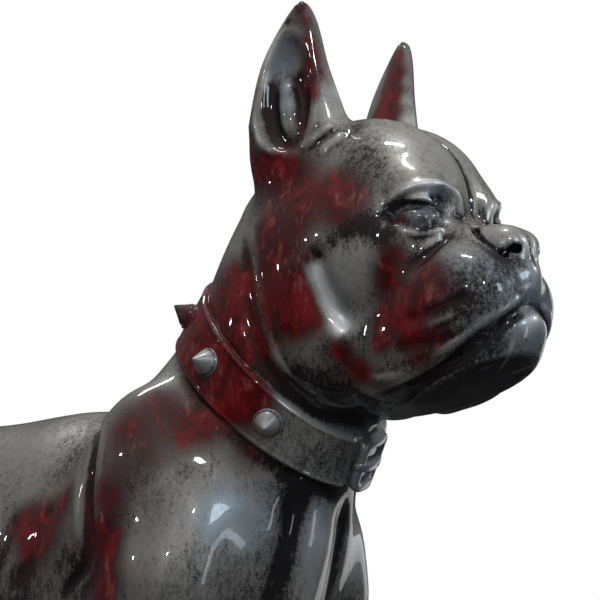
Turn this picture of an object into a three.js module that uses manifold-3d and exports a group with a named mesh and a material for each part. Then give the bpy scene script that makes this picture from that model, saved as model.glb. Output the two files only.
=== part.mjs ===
import * as THREE from 'three';
import { mergeVertices } from 'three/addons/utils/BufferGeometryUtils.js';
import Module from 'manifold-3d';

// A life-size standing boxer in cast resin, with a studded collar cast on, on a low base of its own.
// x runs forwards to the dog's nose, y to its left, z upwards from the underside of the base.

// Driving dimensions, in millimetres
const FIGURE_HEIGHT = 868; // soles to ear tips
const COLLAR_WIDTH = 46; // upper to lower edge, along the neck
const COLLAR_THICKNESS = 6; // how far the band stands off the neck
const STUD_COUNT = 6;
const STUD_RADIUS = 10;
const STUD_HEIGHT = 12;
const STUD_SPACING = 67; // round the band
const BUCKLE_LENGTH = 50; // along the band
const BUCKLE_OVERHANG = 2; // how far the frame reaches over the band's edges
const BUCKLE_BAR = 9; // width of the frame's bars
const BUCKLE_DEPTH = 4; // how far the frame stands off the band
const PRONG_WIDTH = 8;
const STRAP_GAP = 7; // between the strap's end and the frame
const STRAP_LAYER = 3; // depth of that gap
const BASE_LENGTH = 720;
const BASE_WIDTH = 300;
const BASE_THICKNESS = 30;
const BASE_CORNER = 46;
const BASE_CHAMFER = 5;

// Clearance between the paws and the base that they stand on
const SEAT_GAP = 0.3;
// How deep the band is sunk in the neck, and the studs in the band
const BAND_SINK = 14;
const STUD_SINK = 5;
// The figure is drawn at this height in millimetres, and every form of it is a share of that
const DRAWN_HEIGHT = 868;
const SCALE = FIGURE_HEIGHT / DRAWN_HEIGHT;
// The middle of the paws' stand, in the drawing, which comes over the middle of the base
const STANCE_MIDDLE = -318;
const FIGURE_TRIANGLES = 7500;

// Soft arithmetic

const clamp = (t) => Math.min(1, Math.max(0, t));
const rise = (from, to, t) => {
  const s = clamp((t - from) / (to - from));
  return s * s * (3 - 2 * s);
};
const hump = (t, width) => Math.exp(-((t / width) ** 2));

// Joins two distances with a fillet of about k
const fuse = (a, b, k) => {
  const h = clamp(0.5 + (0.5 * (b - a)) / k);
  return b * (1 - h) + a * h - k * h * (1 - h);
};
// Takes b away from a, with a rounded edge of about k
const carve = (a, b, k) => -fuse(-a, b, k);

// Forms. Each is a function of a point that gives its distance, below zero inside.

// An egg: lean tips its front up and turn swings its front outwards, in degrees
function egg(middle, radii, lean = 0, turn = 0) {
  const turned = new THREE.Matrix4().makeRotationFromEuler(
    new THREE.Euler(0, THREE.MathUtils.degToRad(-lean), THREE.MathUtils.degToRad(turn), 'ZYX'),
  );
  const [xx, xy, xz, , yx, yy, yz, , zx, zy, zz] = turned.elements;
  const [cx, cy, cz] = middle;
  const [rx, ry, rz] = radii;
  return (x, y, z) => {
    const [dx, dy, dz] = [x - cx, y - cy, z - cz];
    const u = (dx * xx + dy * xy + dz * xz) / rx;
    const v = (dx * yx + dy * yy + dz * yz) / ry;
    const w = (dx * zx + dy * zy + dz * zz) / rz;
    const size = Math.hypot(u, v, w);
    return (size * (size - 1)) / Math.max(Math.hypot(u / rx, v / ry, w / rz), 1e-6);
  };
}

// A tapered limb from a to b; flat scales its thickness from side to side
function limb(a, b, startRadius, endRadius, flat = 1) {
  const [lx, ly, lz] = [b[0] - a[0], (b[1] - a[1]) / flat, b[2] - a[2]];
  const span = lx * lx + ly * ly + lz * lz;
  return (x, y, z) => {
    const [dx, dy, dz] = [x - a[0], (y - a[1]) / flat, z - a[2]];
    const t = clamp((dx * lx + dy * ly + dz * lz) / span);
    const reach = Math.hypot(dx - t * lx, dy - t * ly, dz - t * lz);
    return (reach - startRadius - (endRadius - startRadius) * t) * Math.min(1, flat);
  };
}

// Forms fused one after another, each with its own fillet
const gather = (first, ...others) => (x, y, z) =>
  others.reduce((d, [fillet, form]) => fuse(d, form(x, y, z), fillet), first(x, y, z));

// A soft groove along a smooth line, or a ridge where the depth is negative, fading at both ends
function crease(points, width, depth, fadeIn = 0.25, fadeOut = 0.25) {
  const line = new THREE.CatmullRomCurve3(points.map((p) => new THREE.Vector3(...p)), false, 'catmullrom');
  const stops = line.getPoints(points.length * 4);
  const reach = width * 3;
  const near = new THREE.Box3().setFromPoints(stops).expandByScalar(reach);
  const here = new THREE.Vector3();
  const closest = new THREE.Vector3();
  const stretch = new THREE.Line3();
  return (x, y, z) => {
    here.set(x, y, z);
    if (!near.containsPoint(here)) return 0;
    let [best, share] = [Infinity, 0];
    for (let i = 1; i < stops.length; i += 1) {
      const t = stretch.set(stops[i - 1], stops[i]).closestPointToPointParameter(here, true);
      const gap = stretch.at(t, closest).distanceTo(here);
      if (gap < best) [best, share] = [gap, (i - 1 + t) / (stops.length - 1)];
    }
    return depth * hump(best, width) * rise(0, fadeIn, share) * rise(0, fadeOut, 1 - share);
  };
}

// Head

const skull = gather(
  egg([70, 0, 698], [100, 70, 86]),
  [24, egg([88, 40, 668], [62, 36, 52], -14)], // cheek under the eye
  [12, egg([138, 29, 709], [27, 23, 20], -25, -14)], // brow
);
const muzzle = gather(
  egg([148, 0, 640], [60, 46, 44], -14),
  [14, egg([173, 24, 626], [43, 30, 38], -14, -8)], // pads under the nose
  [16, egg([130, 34, 600], [56, 26, 46], 26)], // hanging lips
);
const lowerJaw = gather(
  egg([166, 0, 590], [56, 34, 36], 12),
  [16, egg([192, 11, 591], [28, 20, 27], 30)], // chin
  [20, egg([108, 0, 598], [64, 42, 46], 10)], // root of the jaw
);
const bridge = limb([150, 0, 668], [197, 0, 663], 19, 15);
const noseBlock = egg([193, 0, 665], [24, 22, 17], -16);
const jowl = gather(egg([46, 46, 654], [43, 34, 84], 9), [16, egg([72, 32, 602], [50, 32, 44], 10)]);

// The lips' lower edge in side view, from the corner behind to the front
const lipLine = [
  [66, 600], [88, 573], [110, 557], [144, 565], [180, 580], [210, 597], [236, 612],
];
function lipHeight(x, y) {
  const after = lipLine.findIndex(([at]) => at > x);
  const [[x0, z0], [x1, z1]] =
    after < 0 ? [lipLine.at(-1), [1e3, lipLine.at(-1)[1]]] : [lipLine[Math.max(after - 1, 0)], lipLine[after]];
  const straight = x1 > x0 ? z0 + (z1 - z0) * clamp((x - x0) / (x1 - x0)) : z0;
  return straight + 13 * hump(y, 17) * rise(196, 212, x); // arched up under the nose
}

function head(x, y, z) {
  let d = skull(x, y, z) + 5 * hump(y, 13) * rise(60, 110, x) * rise(650, 700, z); // valley of the forehead
  d = fuse(d, carve(muzzle(x, y, z), z - lipHeight(x, y), 5), 16);
  d = fuse(d, bridge(x, y, z), 14);
  d = fuse(d, noseBlock(x, y, z), 4);
  d = fuse(d, lowerJaw(x, y, z), 2.5);
  return fuse(d, jowl(x, y, z), 8);
}

// An ear is a leaf set on edge: its half-width grows with a power of the way down from the tip,
// and its outer side is hollowed.
const ear = (() => {
  const tip = new THREE.Vector3(55, 63, 869);
  const down = new THREE.Vector3(43, 52, 752).sub(tip).normalize();
  const facing = THREE.MathUtils.degToRad(20);
  const out = new THREE.Vector3(Math.sin(facing), Math.cos(facing), 0);
  out.addScaledVector(down, -out.dot(down)).normalize();
  const across = down.clone().cross(out);
  const hollowAt = tip.clone().addScaledVector(down, 66).addScaledVector(out, 20);
  const hollow = egg(hollowAt.toArray(), [19, 19, 52]);
  const from = new THREE.Vector3();
  return (x, y, z) => {
    from.set(x, y, z).sub(tip);
    const s = from.dot(down);
    const half = 40 * Math.max(0.01, Math.min(1, s / 95)) ** 0.62 * (1 - 0.5 * clamp((s - 110) / 60) ** 2);
    const thick = 2.5 + half * 0.36;
    const [u, v] = [from.dot(across), from.dot(out)];
    const size = Math.hypot(u / half, v / thick);
    let d = (size * (size - 1)) / Math.max(Math.hypot(u / half ** 2, v / thick ** 2), 1e-6);
    d = carve(carve(d, s, 4), 160 - s, 18);
    return carve(d, hollow(x, y, z), 5);
  };
})();

// Eye, lids, nostril, furrow and folds, cut and raised on the finished masses
const eyeSocket = egg([151, 51, 688], [21, 13, 10], -4, -32);
const browHollow = egg([168, 37, 699], [11, 9, 8], 0, -20);
const eyeball = egg([141.5, 38, 686], [17.5, 16, 12.5], 0, -28);
const nostril = egg([209, 11, 662], [9, 5.5, 5.5], 0, -30);
const faceLines = [
  crease([[138, 56, 692], [146, 53, 697], [157, 45, 698], [165, 36, 692], [168, 30, 685]], 4, -3), // upper lid
  crease([[137, 57, 684], [142, 55, 677], [151, 48, 674], [161, 38, 677], [168, 30, 683]], 4, -2.5), // lower lid
  crease([[128, 60, 698], [140, 53, 706], [156, 44, 712], [167, 33, 711], [171, 24, 703], [170, 19, 692]], 5, -3),
  crease([[168, 22, 682], [164, 34, 669], [159, 45, 658], [150, 53, 648], [145, 58, 634]], 6, 5), // behind the muzzle
  crease([[172, 9, 683], [180, 16, 676], [188, 20, 667], [196, 21, 659], [204, 16, 654]], 4, 4), // side of the nose
  crease([[148, 60, 604], [161, 60, 610], [180, 57, 615], [200, 50, 621]], 5, 3), // folds of the lips
  crease([[140, 60, 590], [156, 58, 590], [175, 54, 592], [194, 50, 597], [207, 46, 602]], 5, 3),
];
function withFace(d, x, y, z) {
  let shaped = carve(d, eyeSocket(x, y, z), 8);
  shaped = carve(shaped, browHollow(x, y, z), 6);
  shaped = fuse(shaped, eyeball(x, y, z), 1.6);
  shaped = carve(shaped, nostril(x, y, z), 2.5);
  shaped += 3 * hump(y, 3) * rise(84, 104, x) * (1 - rise(164, 176, x)) * rise(688, 700, z); // furrow
  shaped += 3 * hump(y, 3) * rise(180, 200, x) * rise(612, 622, z) * (1 - rise(668, 678, z)); // lip's middle
  return faceLines.reduce((sum, line) => sum + line(x, y, z), shaped);
}

// Collar line: the band runs round the neck between two leaning rings. share runs from -0.5 at the
// upper edge to 0.5 at the lower edge, and angle from 0 at the throat to 180 degrees at the nape.
const ringMiddle = new THREE.Vector3(-16, 0, 591);
const ringDown = new THREE.Vector3(-0.547, 0, -0.837);
const ringLean = (share) => THREE.MathUtils.degToRad(48 - 6 * share);
const ringRadii = (share) => [92 + 4.5 * share, 85 - 1.7 * share];
const drawnCollarWidth = COLLAR_WIDTH / SCALE;

function onCollar(angle, share, proud) {
  const [along, aside] = ringRadii(share);
  const lean = ringLean(share);
  const point = ringMiddle.clone().addScaledVector(ringDown, drawnCollarWidth * share);
  const [c, s] = [Math.cos(angle), Math.sin(angle)];
  const forwards = new THREE.Vector3(Math.cos(lean), 0, -Math.sin(lean));
  const leftwards = new THREE.Vector3(0, 1, 0);
  point.addScaledVector(forwards, along * c).addScaledVector(leftwards, aside * s);
  const outwards = new THREE.Vector3().addScaledVector(forwards, c / along).addScaledVector(leftwards, s / aside);
  return point.multiplyScalar(SCALE).addScaledVector(outwards.normalize(), proud);
}

// Neck, drawn in to the tube that the collar goes round
const neckMass = limb([26, 0, 690], [-64, 0, 520], 70, 95);
const neckStretch = 45; // how far above and below the collar the neck follows the tube
function collarTube(x, y, z) {
  const lean = ringLean(0);
  const toMiddle = [x - ringMiddle.x, z - ringMiddle.z];
  const square = -ringDown.x * Math.sin(lean) - ringDown.z * Math.cos(lean);
  const fall = (-toMiddle[0] * Math.sin(lean) - toMiddle[1] * Math.cos(lean)) / square;
  const share = fall / drawnCollarWidth;
  const [along, aside] = ringRadii(share);
  const bed = COLLAR_THICKNESS / SCALE;
  const u = (toMiddle[0] - ringDown.x * fall) * Math.cos(lean) - (toMiddle[1] - ringDown.z * fall) * Math.sin(lean);
  const clear = 1.2 * Math.max(0, Math.abs(fall) - drawnCollarWidth / 2);
  return { tube: (Math.hypot(u / (along - bed), y / (aside - bed)) - 1) * aside, hold: hump(fall, neckStretch), clear };
}

// Body

const trunk = gather(
  egg([-215, 0, 440], [195, 112, 158], -9), // ribs
  [40, egg([-330, 0, 475], [140, 96, 112], -12)], // last ribs
  [40, egg([-82, 0, 450], [92, 74, 120], -14)], // breast
  [40, egg([-195, 0, 538], [95, 62, 56], -6)], // withers
  [40, egg([-430, 0, 515], [130, 76, 74], 4)], // loin
  [40, egg([-520, 0, 488], [96, 92, 102])], // croup
);
const toes = (front, side, reach) =>
  [-1.45, -0.5, 0.5, 1.45].map((place) => [
    5,
    egg([front - 5 * place * place, side + place * 17, 18], [reach, 11.5, 22], -8),
  ]);
const foreleg = gather(
  egg([-100, 84, 490], [58, 34, 112], -30), // shoulder blade
  [18, egg([-54, 76, 455], [44, 40, 62], -14)], // point of the shoulder
  [22, limb([-60, 84, 430], [-140, 86, 330], 44, 44, 0.9)],
  [22, limb([-132, 84, 330], [-122, 80, 140], 42, 26, 0.9)],
  [10, egg([-121, 80, 132], [27, 26, 30])], // wrist
  [12, limb([-121, 80, 130], [-104, 80, 46], 25, 27)],
  [10, egg([-94, 80, 28], [42, 36, 36], -12)], // paw
  ...toes(-58, 80, 30),
);
const hindleg = gather(
  egg([-520, 66, 440], [92, 54, 128], -20), // thigh
  [26, egg([-470, 74, 372], [64, 44, 84], -24)], // stifle
  [26, limb([-485, 80, 330], [-585, 84, 208], 48, 27, 0.85)],
  [30, limb([-385, 44, 440], [-440, 66, 385], 34, 34)], // flank
  [14, limb([-588, 84, 198], [-572, 82, 60], 24, 23)],
  [14, limb([-560, 84, 250], [-612, 84, 204], 20, 14)], // hock
  [10, egg([-556, 82, 26], [40, 34, 34], -10)], // paw
  ...toes(-526, 82, 29),
);
const tail = limb([-595, 0, 545], [-640, 0, 590], 24, 15);
const shoulderLine = crease(
  [[-154, 60, 580], [-143, 77, 552], [-118, 105, 514], [-102, 120, 481], [-97, 123, 454], [-112, 121, 441],
    [-133, 116, 425]],
  8, 6, 0.1, 0.15,
);
const breastLine = crease([[22, 26, 512], [16, 28, 470], [4, 32, 420], [-14, 36, 380]], 11, 6);
const thighLine = crease([[-430, 62, 470], [-418, 84, 430], [-432, 104, 390], [-462, 108, 345]], 12, 5);

// The whole dog, the same on both sides
function dog(x, side, z) {
  const y = Math.abs(side);
  let d = trunk(x, y, z);
  d = fuse(d, carve(foreleg(x, y, z), z, 3), 26);
  d = fuse(d, carve(hindleg(x, y, z), z, 3), 28);
  d = fuse(d, tail(x, y, z), 20);
  d = fuse(d, neckMass(x, y, z), 40);
  const { tube, hold, clear } = collarTube(x, y, z);
  d += (tube - d) * hold * rise(60, 20, Math.abs(tube));
  d = fuse(d, head(x, y, z), 9);
  d = carve(d, clear - tube, 3); // the head and the breast keep clear of the band
  d = fuse(d, ear(x, y, z), 12);
  return withFace(d, x, y, z) + shoulderLine(x, y, z) + breastLine(x, y, z) + thighLine(x, y, z);
}

// Surface of a form that is the same on both sides: one point in each cell of a grid that the surface
// passes, joined across each crossed grid edge. The grid lines are closer where the form is finer.
const gridLines = (from, to, step) =>
  Array.from({ length: Math.ceil((to - from) / step) }, (_, i) => from + i * step);
const AXES = [0, 1, 2];

// A square of the grid whose corners alternate between inside and outside would make four faces meet at
// one edge, so its corner nearest to the surface changes sides
function settle(values, counts, stride) {
  let moved = false;
  for (let index = 0; index < values.length; index += 1) {
    const isLast = AXES.map((n) => Math.floor(index / stride[n]) % counts[n] === counts[n] - 1);
    AXES.forEach((n) => {
      const m = (n + 1) % 3;
      if (isLast[n] || isLast[m]) return;
      const square = [index, index + stride[n], index + stride[m], index + stride[n] + stride[m]];
      const [a, b, c, d] = square.map((corner) => values[corner] < 0);
      if (a !== d || b !== c || a === b) return;
      const nearest = square.reduce((p, q) => (Math.abs(values[q]) < Math.abs(values[p]) ? q : p));
      values[nearest] = values[nearest] < 0 ? 1e-3 : -1e-3;
      moved = true;
    });
  }
  return moved;
}

function surfaceOf(form, xs, halfYs, zs) {
  const half = new Float64Array(xs.length * halfYs.length * zs.length);
  const halfStride = [halfYs.length * zs.length, zs.length, 1];
  xs.forEach((x, i) => halfYs.forEach((y, j) => zs.forEach((z, k) => {
    half[i * halfStride[0] + j * halfStride[1] + k] = form(x, y, z);
  })));
  while (settle(half, [xs.length, halfYs.length, zs.length], halfStride));

  const ys = [...halfYs.map((y) => -y).reverse(), ...halfYs];
  const lines = [xs, ys, zs];
  const stride = [ys.length * zs.length, zs.length, 1];
  const at = (i, j, k) => i * stride[0] + j * stride[1] + k;
  const values = new Float64Array(xs.length * stride[0]);
  xs.forEach((x, i) => halfYs.forEach((y, j) => zs.forEach((z, k) => {
    const value = half[i * halfStride[0] + j * halfStride[1] + k];
    values[at(i, halfYs.length + j, k)] = value;
    values[at(i, halfYs.length - 1 - j, k)] = value;
  })));

  const corners = Array.from({ length: 8 }, (_, c) => [c >> 2, (c >> 1) & 1, c & 1]);
  const edges = corners.flatMap((corner) => AXES.filter((axis) => !corner[axis]).map((axis) => [corner, axis]));
  const points = [];
  const pointIn = new Int32Array(values.length).fill(-1);
  const eachCell = (first, visit) => {
    for (let i = first; i + 1 < xs.length; i += 1) {
      for (let j = first; j + 1 < ys.length; j += 1) {
        for (let k = first; k + 1 < zs.length; k += 1) visit([i, j, k], at(i, j, k));
      }
    }
  };
  eachCell(0, (cell, index) => {
    const sum = [0, 0, 0];
    let crossings = 0;
    edges.forEach(([corner, axis]) => {
      const start = AXES.map((n) => cell[n] + corner[n]);
      const a = values[at(...start)];
      const b = values[at(...start) + stride[axis]];
      if (a < 0 === b < 0) return;
      AXES.forEach((n) => { sum[n] += lines[n][start[n]]; });
      sum[axis] += (a / (a - b)) * (lines[axis][start[axis] + 1] - lines[axis][start[axis]]);
      crossings += 1;
    });
    if (crossings) pointIn[index] = points.push(sum.map((v) => v / crossings)) - 1;
  });

  const faces = [];
  const apart = (a, b) => Math.hypot(...AXES.map((n) => points[a][n] - points[b][n]));
  eachCell(1, (cell, index) => AXES.forEach((axis) => {
    const inside = values[index] < 0;
    if (inside === values[index + stride[axis]] < 0) return;
    const [p, q] = [stride[(axis + 1) % 3], stride[(axis + 2) % 3]];
    const ring = [index - p - q, index - q, index, index - p].map((n) => pointIn[n]);
    if (!inside) ring.reverse();
    const [a, b, c, d] = ring;
    faces.push(...(apart(a, c) < apart(b, d) ? [[a, b, c], [a, c, d]] : [[a, b, d], [b, c, d]]));
  }));
  return { points, faces };
}

// Thins a closed mesh to the wanted number of triangles. Each point keeps the sum of squared distances
// to the planes that met in it, and the edge whose merging costs least is merged first. Weight makes a
// place dearer, so that it keeps more of its triangles.
function thin({ points, faces }, wanted, weight) {
  const place = points.map((p) => [...p]);
  const planes = points.map(() => new Float64Array(10));
  const facesAt = points.map(() => new Set());
  const merges = new Uint32Array(points.length);
  const minus = (a, b) => [a[0] - b[0], a[1] - b[1], a[2] - b[2]];
  const dot = (a, b) => a[0] * b[0] + a[1] * b[1] + a[2] * b[2];
  const cross = (a, b) => [a[1] * b[2] - a[2] * b[1], a[2] * b[0] - a[0] * b[2], a[0] * b[1] - a[1] * b[0]];
  const normalOf = ([a, b, c]) => cross(minus(b, a), minus(c, a));
  faces.forEach((face, i) => {
    const normal = normalOf(face.map((n) => place[n]));
    const area = Math.hypot(...normal);
    face.forEach((n) => facesAt[n].add(i));
    if (area < 1e-9) return;
    const [a, b, c] = normal.map((v) => v / area);
    const d = -dot([a, b, c], place[face[0]]);
    const terms = [a * a, a * b, a * c, a * d, b * b, b * c, b * d, c * c, c * d, d * d];
    face.forEach((n) => terms.forEach((v, t) => { planes[n][t] += v * area * weight(...place[n]); }));
  });
  const costAt = (q, [x, y, z]) => q[0] * x * x + 2 * x * (q[1] * y + q[2] * z + q[3])
    + q[4] * y * y + 2 * y * (q[5] * z + q[6]) + q[7] * z * z + 2 * z * q[8] + q[9];

  // The best place for a merged point: where the planes' distances are least, held a little to the middle
  const bestPlace = (q, middle) => {
    const hold = 1e-3 * (q[0] + q[4] + q[7]) + 1e-9;
    const m = new THREE.Matrix3(q[0] + hold, q[1], q[2], q[1], q[4] + hold, q[5], q[2], q[5], q[7] + hold);
    const right = [3, 6, 8].map((t, n) => hold * middle[n] - q[t]);
    return new THREE.Vector3(...right).applyMatrix3(m.invert()).toArray();
  };
  const EVENNESS = 3e-5; // how much a long merged edge costs beside the planes' distances
  const heap = [];
  const swap = (i, j) => { [heap[i], heap[j]] = [heap[j], heap[i]]; };
  const add = (a, b) => {
    const q = planes[a].map((v, t) => v + planes[b][t]);
    const middle = place[a].map((v, n) => (v + place[b][n]) / 2);
    const to = bestPlace(q, middle);
    const length = Math.hypot(...minus(place[a], place[b]));
    const cost = costAt(q, to) + EVENNESS * length ** 4 * weight(...middle);
    let i = heap.push({ cost, a, b, to, q, made: merges[a] + merges[b] }) - 1;
    while (i && heap[(i - 1) >> 1].cost > heap[i].cost) {
      swap(i, (i - 1) >> 1);
      i = (i - 1) >> 1;
    }
  };
  const takeCheapest = () => {
    const best = heap[0];
    const last = heap.pop();
    if (heap.length) {
      heap[0] = last;
      let i = 0;
      for (;;) {
        const [l, r] = [2 * i + 1, 2 * i + 2];
        const down = r < heap.length && heap[r].cost < heap[l].cost ? r : l;
        if (!(down < heap.length && heap[down].cost < heap[i].cost)) break;
        swap(i, down);
        i = down;
      }
    }
    return best;
  };
  const neighbours = (n) => new Set([...facesAt[n]].flatMap((f) => faces[f]).filter((m) => m !== n));
  faces.forEach((face) => face.forEach((a, n) => {
    const b = face[(n + 1) % 3];
    if (a < b) add(a, b);
  }));

  let left = faces.length;
  while (left > wanted && heap.length) {
    const { a, b, to, q, made } = takeCheapest();
    if (made !== merges[a] + merges[b] || !facesAt[a].size || !facesAt[b].size) continue;
    const besideB = neighbours(b);
    const shared = [...neighbours(a)].filter((n) => besideB.has(n));
    const gone = [...facesAt[a]].filter((f) => facesAt[b].has(f));
    const kept = [...facesAt[a], ...facesAt[b]].filter((f) => !gone.includes(f));
    const turnsOver = kept.some((f) => {
      const before = normalOf(faces[f].map((n) => place[n]));
      const after = normalOf(faces[f].map((n) => (n === a || n === b ? to : place[n])));
      return dot(before, after) < 0.3 * Math.hypot(...before) * Math.hypot(...after);
    });
    if (shared.length !== 2 || gone.length !== 2 || turnsOver) continue;
    gone.forEach((f) => faces[f].forEach((n) => facesAt[n].delete(f)));
    facesAt[b].forEach((f) => {
      faces[f] = faces[f].map((n) => (n === b ? a : n));
      facesAt[a].add(f);
    });
    facesAt[b].clear();
    place[a] = to;
    planes[a] = q;
    merges[a] += merges[b] + 1;
    merges[b] = merges[a];
    left -= 2;
    neighbours(a).forEach((n) => add(a, n));
  }
  const used = [...new Set(facesAt.flatMap((set) => [...set]))].map((f) => faces[f]);
  return { points: place, faces: used };
}

// A closed mesh from rows of points: each row is a closed section, joined to the next, and the last
// row either to the first or to a flat end.
function geometryOf(points, faces) {
  const geometry = new THREE.BufferGeometry();
  geometry.setAttribute('position', new THREE.Float32BufferAttribute(points.flat(), 3));
  geometry.setIndex(faces.flat());
  return geometry;
}
function loft(rows, closed) {
  const count = rows[0].length;
  const at = (row, n) => (row % rows.length) * count + (n % count);
  const faces = [];
  for (let row = 0; row < rows.length - (closed ? 0 : 1); row += 1) {
    for (let n = 0; n < count; n += 1) {
      faces.push([at(row, n), at(row, n + 1), at(row + 1, n + 1)], [at(row, n), at(row + 1, n + 1), at(row + 1, n)]);
    }
  }
  if (!closed) {
    for (let n = 1; n + 1 < count; n += 1) {
      faces.push([at(0, 0), at(0, n + 1), at(0, n)]);
      faces.push([at(rows.length - 1, 0), at(rows.length - 1, n), at(rows.length - 1, n + 1)]);
    }
  }
  return geometryOf(rows.flat().map((p) => p.toArray()), faces);
}

// Angle of a length round the band
const lapOf = (millimetres) => millimetres / (SCALE * THREE.MathUtils.lerp(...ringRadii(0), 0.5));

// A block bent to the collar, given by angles, by millimetres from the band's middle line, and by how
// far its inner and outer faces stand off the band
function bandBlock(from, to, upper, lower, inner, outer) {
  const steps = Math.max(1, Math.ceil((to - from) / 0.16));
  const rows = Array.from({ length: steps + 1 }, (_, n) => {
    const angle = from + ((to - from) * n) / steps;
    return [[upper, outer], [lower, outer], [lower, inner], [upper, inner]]
      .map(([across, proud]) => onCollar(angle, across / COLLAR_WIDTH, proud));
  });
  return loft(rows, false);
}

function collarBand() {
  const segments = 32;
  const [half, edge] = [COLLAR_WIDTH / 2, Math.min(2, COLLAR_THICKNESS / 3)];
  const section = [
    [-half, -edge], [edge - half, 0], [half - edge, 0], [half, -edge],
    [half, -COLLAR_THICKNESS - BAND_SINK], [-half, -COLLAR_THICKNESS - BAND_SINK],
  ];
  const rows = Array.from({ length: segments }, (_, n) =>
    section.map(([across, proud]) => onCollar((n / segments) * 2 * Math.PI, across / COLLAR_WIDTH, proud)));
  return loft(rows, true);
}

function stud(angle) {
  const profile = [
    [0, -STUD_SINK], [STUD_RADIUS, -STUD_SINK], [STUD_RADIUS, STUD_HEIGHT / 8], [STUD_RADIUS / 8, STUD_HEIGHT - 0.4],
    [0, STUD_HEIGHT],
  ];
  const cone = new THREE.LatheGeometry(profile.map(([r, h]) => new THREE.Vector2(r, h)), 10);
  const foot = onCollar(angle, 0, 0);
  const outwards = onCollar(angle, 0, 1).sub(foot);
  cone.applyQuaternion(new THREE.Quaternion().setFromUnitVectors(new THREE.Vector3(0, 1, 0), outwards));
  return cone.translate(...foot.toArray());
}

// The buckle lies at the throat, a little to the dog's left: a frame of four bars, and the prong
// across its middle.
function buckle() {
  const from = lapOf(STRAP_GAP);
  const to = from + lapOf(BUCKLE_LENGTH);
  const bar = lapOf(BUCKLE_BAR);
  const reach = COLLAR_WIDTH / 2 + BUCKLE_OVERHANG;
  const block = (a, b, upper, lower, outer) => bandBlock(a, b, upper, lower, -BAND_SINK, outer);
  return [
    block(from, from + bar, -reach, reach, BUCKLE_DEPTH),
    block(to - bar, to, -reach, reach, BUCKLE_DEPTH),
    block(from, to, -reach, BUCKLE_BAR - reach, BUCKLE_DEPTH),
    block(from, to, reach - BUCKLE_BAR, reach, BUCKLE_DEPTH),
    block(from - lapOf(1), to, -PRONG_WIDTH / 2, PRONG_WIDTH / 2, BUCKLE_DEPTH * 1.3),
  ];
}

// Joining and cutting
const wasm = await Module();
wasm.setup();
function solidOf(geometry) {
  const bare = geometry.clone();
  ['normal', 'uv'].forEach((name) => bare.deleteAttribute(name));
  const merged = mergeVertices(bare, 1e-4);
  const corners = Array.from(merged.index.array);
  const triVerts = [];
  for (let i = 0; i < corners.length; i += 3) {
    const [a, b, c] = corners.slice(i, i + 3);
    if (a !== b && b !== c && a !== c) triVerts.push(a, b, c);
  }
  return new wasm.Manifold(new wasm.Mesh({
    numProp: 3,
    vertProperties: new Float32Array(merged.attributes.position.array),
    triVerts: new Uint32Array(triVerts),
  }));
}
function meshOf(solid) {
  const { vertProperties, triVerts } = solid.getMesh();
  const geometry = new THREE.BufferGeometry();
  geometry.setAttribute('position', new THREE.BufferAttribute(vertProperties, 3));
  geometry.setIndex(new THREE.BufferAttribute(triVerts, 1));
  return geometry;
}

function figure() {
  const [coarse, fine, finest] = [12, 7, 5];
  const xs = [...gridLines(-680, -60, coarse), ...gridLines(-60, 60, fine), ...gridLines(60, 240, finest)];
  const halfYs = gridLines(fine / 2, 150, fine - 0.5);
  const paws = gridLines(-9, 60, fine);
  const legsAndTrunk = gridLines(60, 540, coarse);
  const face = gridLines(540, 740, finest);
  const crownAndEars = gridLines(740, 885, fine);
  const zs = [...paws, ...legsAndTrunk, ...face, ...crownAndEars];
  const weight = (x, y, z) => {
    if (z < 60) return 12; // paws
    if (x < -70 || z < 545) return 1; // trunk and legs
    if (z > 770) return 16; // ears
    return x > 60 && z > 590 && z < 740 ? 120 : 4; // face, and the rest of the head
  };
  const { points, faces } = thin(surfaceOf(dog, xs, halfYs, zs), FIGURE_TRIANGLES, weight);
  return geometryOf(points.map((p) => p.map((v) => v * SCALE)), faces);
}

const firstStud = THREE.MathUtils.degToRad(-50); // the stud nearest to the strap's end, on the dog's right
const gapReach = COLLAR_WIDTH / 2 + 0.5;
const strapGap = bandBlock(0, lapOf(STRAP_GAP - 1), -gapReach, gapReach, -STRAP_LAYER, COLLAR_THICKNESS);
const castDog = [
  collarBand(),
  ...Array.from({ length: STUD_COUNT }, (_, n) => stud(firstStud - n * lapOf(STUD_SPACING))),
  ...buckle(),
].reduce((cast, piece) => cast.add(solidOf(piece)), solidOf(figure()))
  .subtract(solidOf(strapGap));

function lowBase() {
  const [halfLength, halfWidth, corner] = [BASE_LENGTH / 2, BASE_WIDTH / 2, BASE_CORNER];
  const outline = new THREE.Shape()
    .moveTo(corner - halfLength, -halfWidth)
    .lineTo(halfLength - corner, -halfWidth)
    .absarc(halfLength - corner, corner - halfWidth, corner, -Math.PI / 2, 0)
    .lineTo(halfLength, halfWidth - corner)
    .absarc(halfLength - corner, halfWidth - corner, corner, 0, Math.PI / 2)
    .lineTo(corner - halfLength, halfWidth)
    .absarc(corner - halfLength, halfWidth - corner, corner, Math.PI / 2, Math.PI)
    .lineTo(-halfLength, corner - halfWidth)
    .absarc(corner - halfLength, corner - halfWidth, corner, Math.PI, 1.5 * Math.PI);
  const slab = new THREE.ExtrudeGeometry(outline, {
    depth: BASE_THICKNESS - 2 * BASE_CHAMFER,
    bevelThickness: BASE_CHAMFER,
    bevelSize: BASE_CHAMFER,
    bevelOffset: -BASE_CHAMFER,
    bevelSegments: 1,
    curveSegments: 5,
  });
  return slab.translate(0, 0, BASE_CHAMFER);
}

const lacquer = new THREE.MeshStandardMaterial({ color: 0x4d4a4c, roughness: 0.2, metalness: 0.7 });
const baseLacquer = new THREE.MeshStandardMaterial({ color: 0x39373a, roughness: 0.25, metalness: 0.6 });

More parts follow.
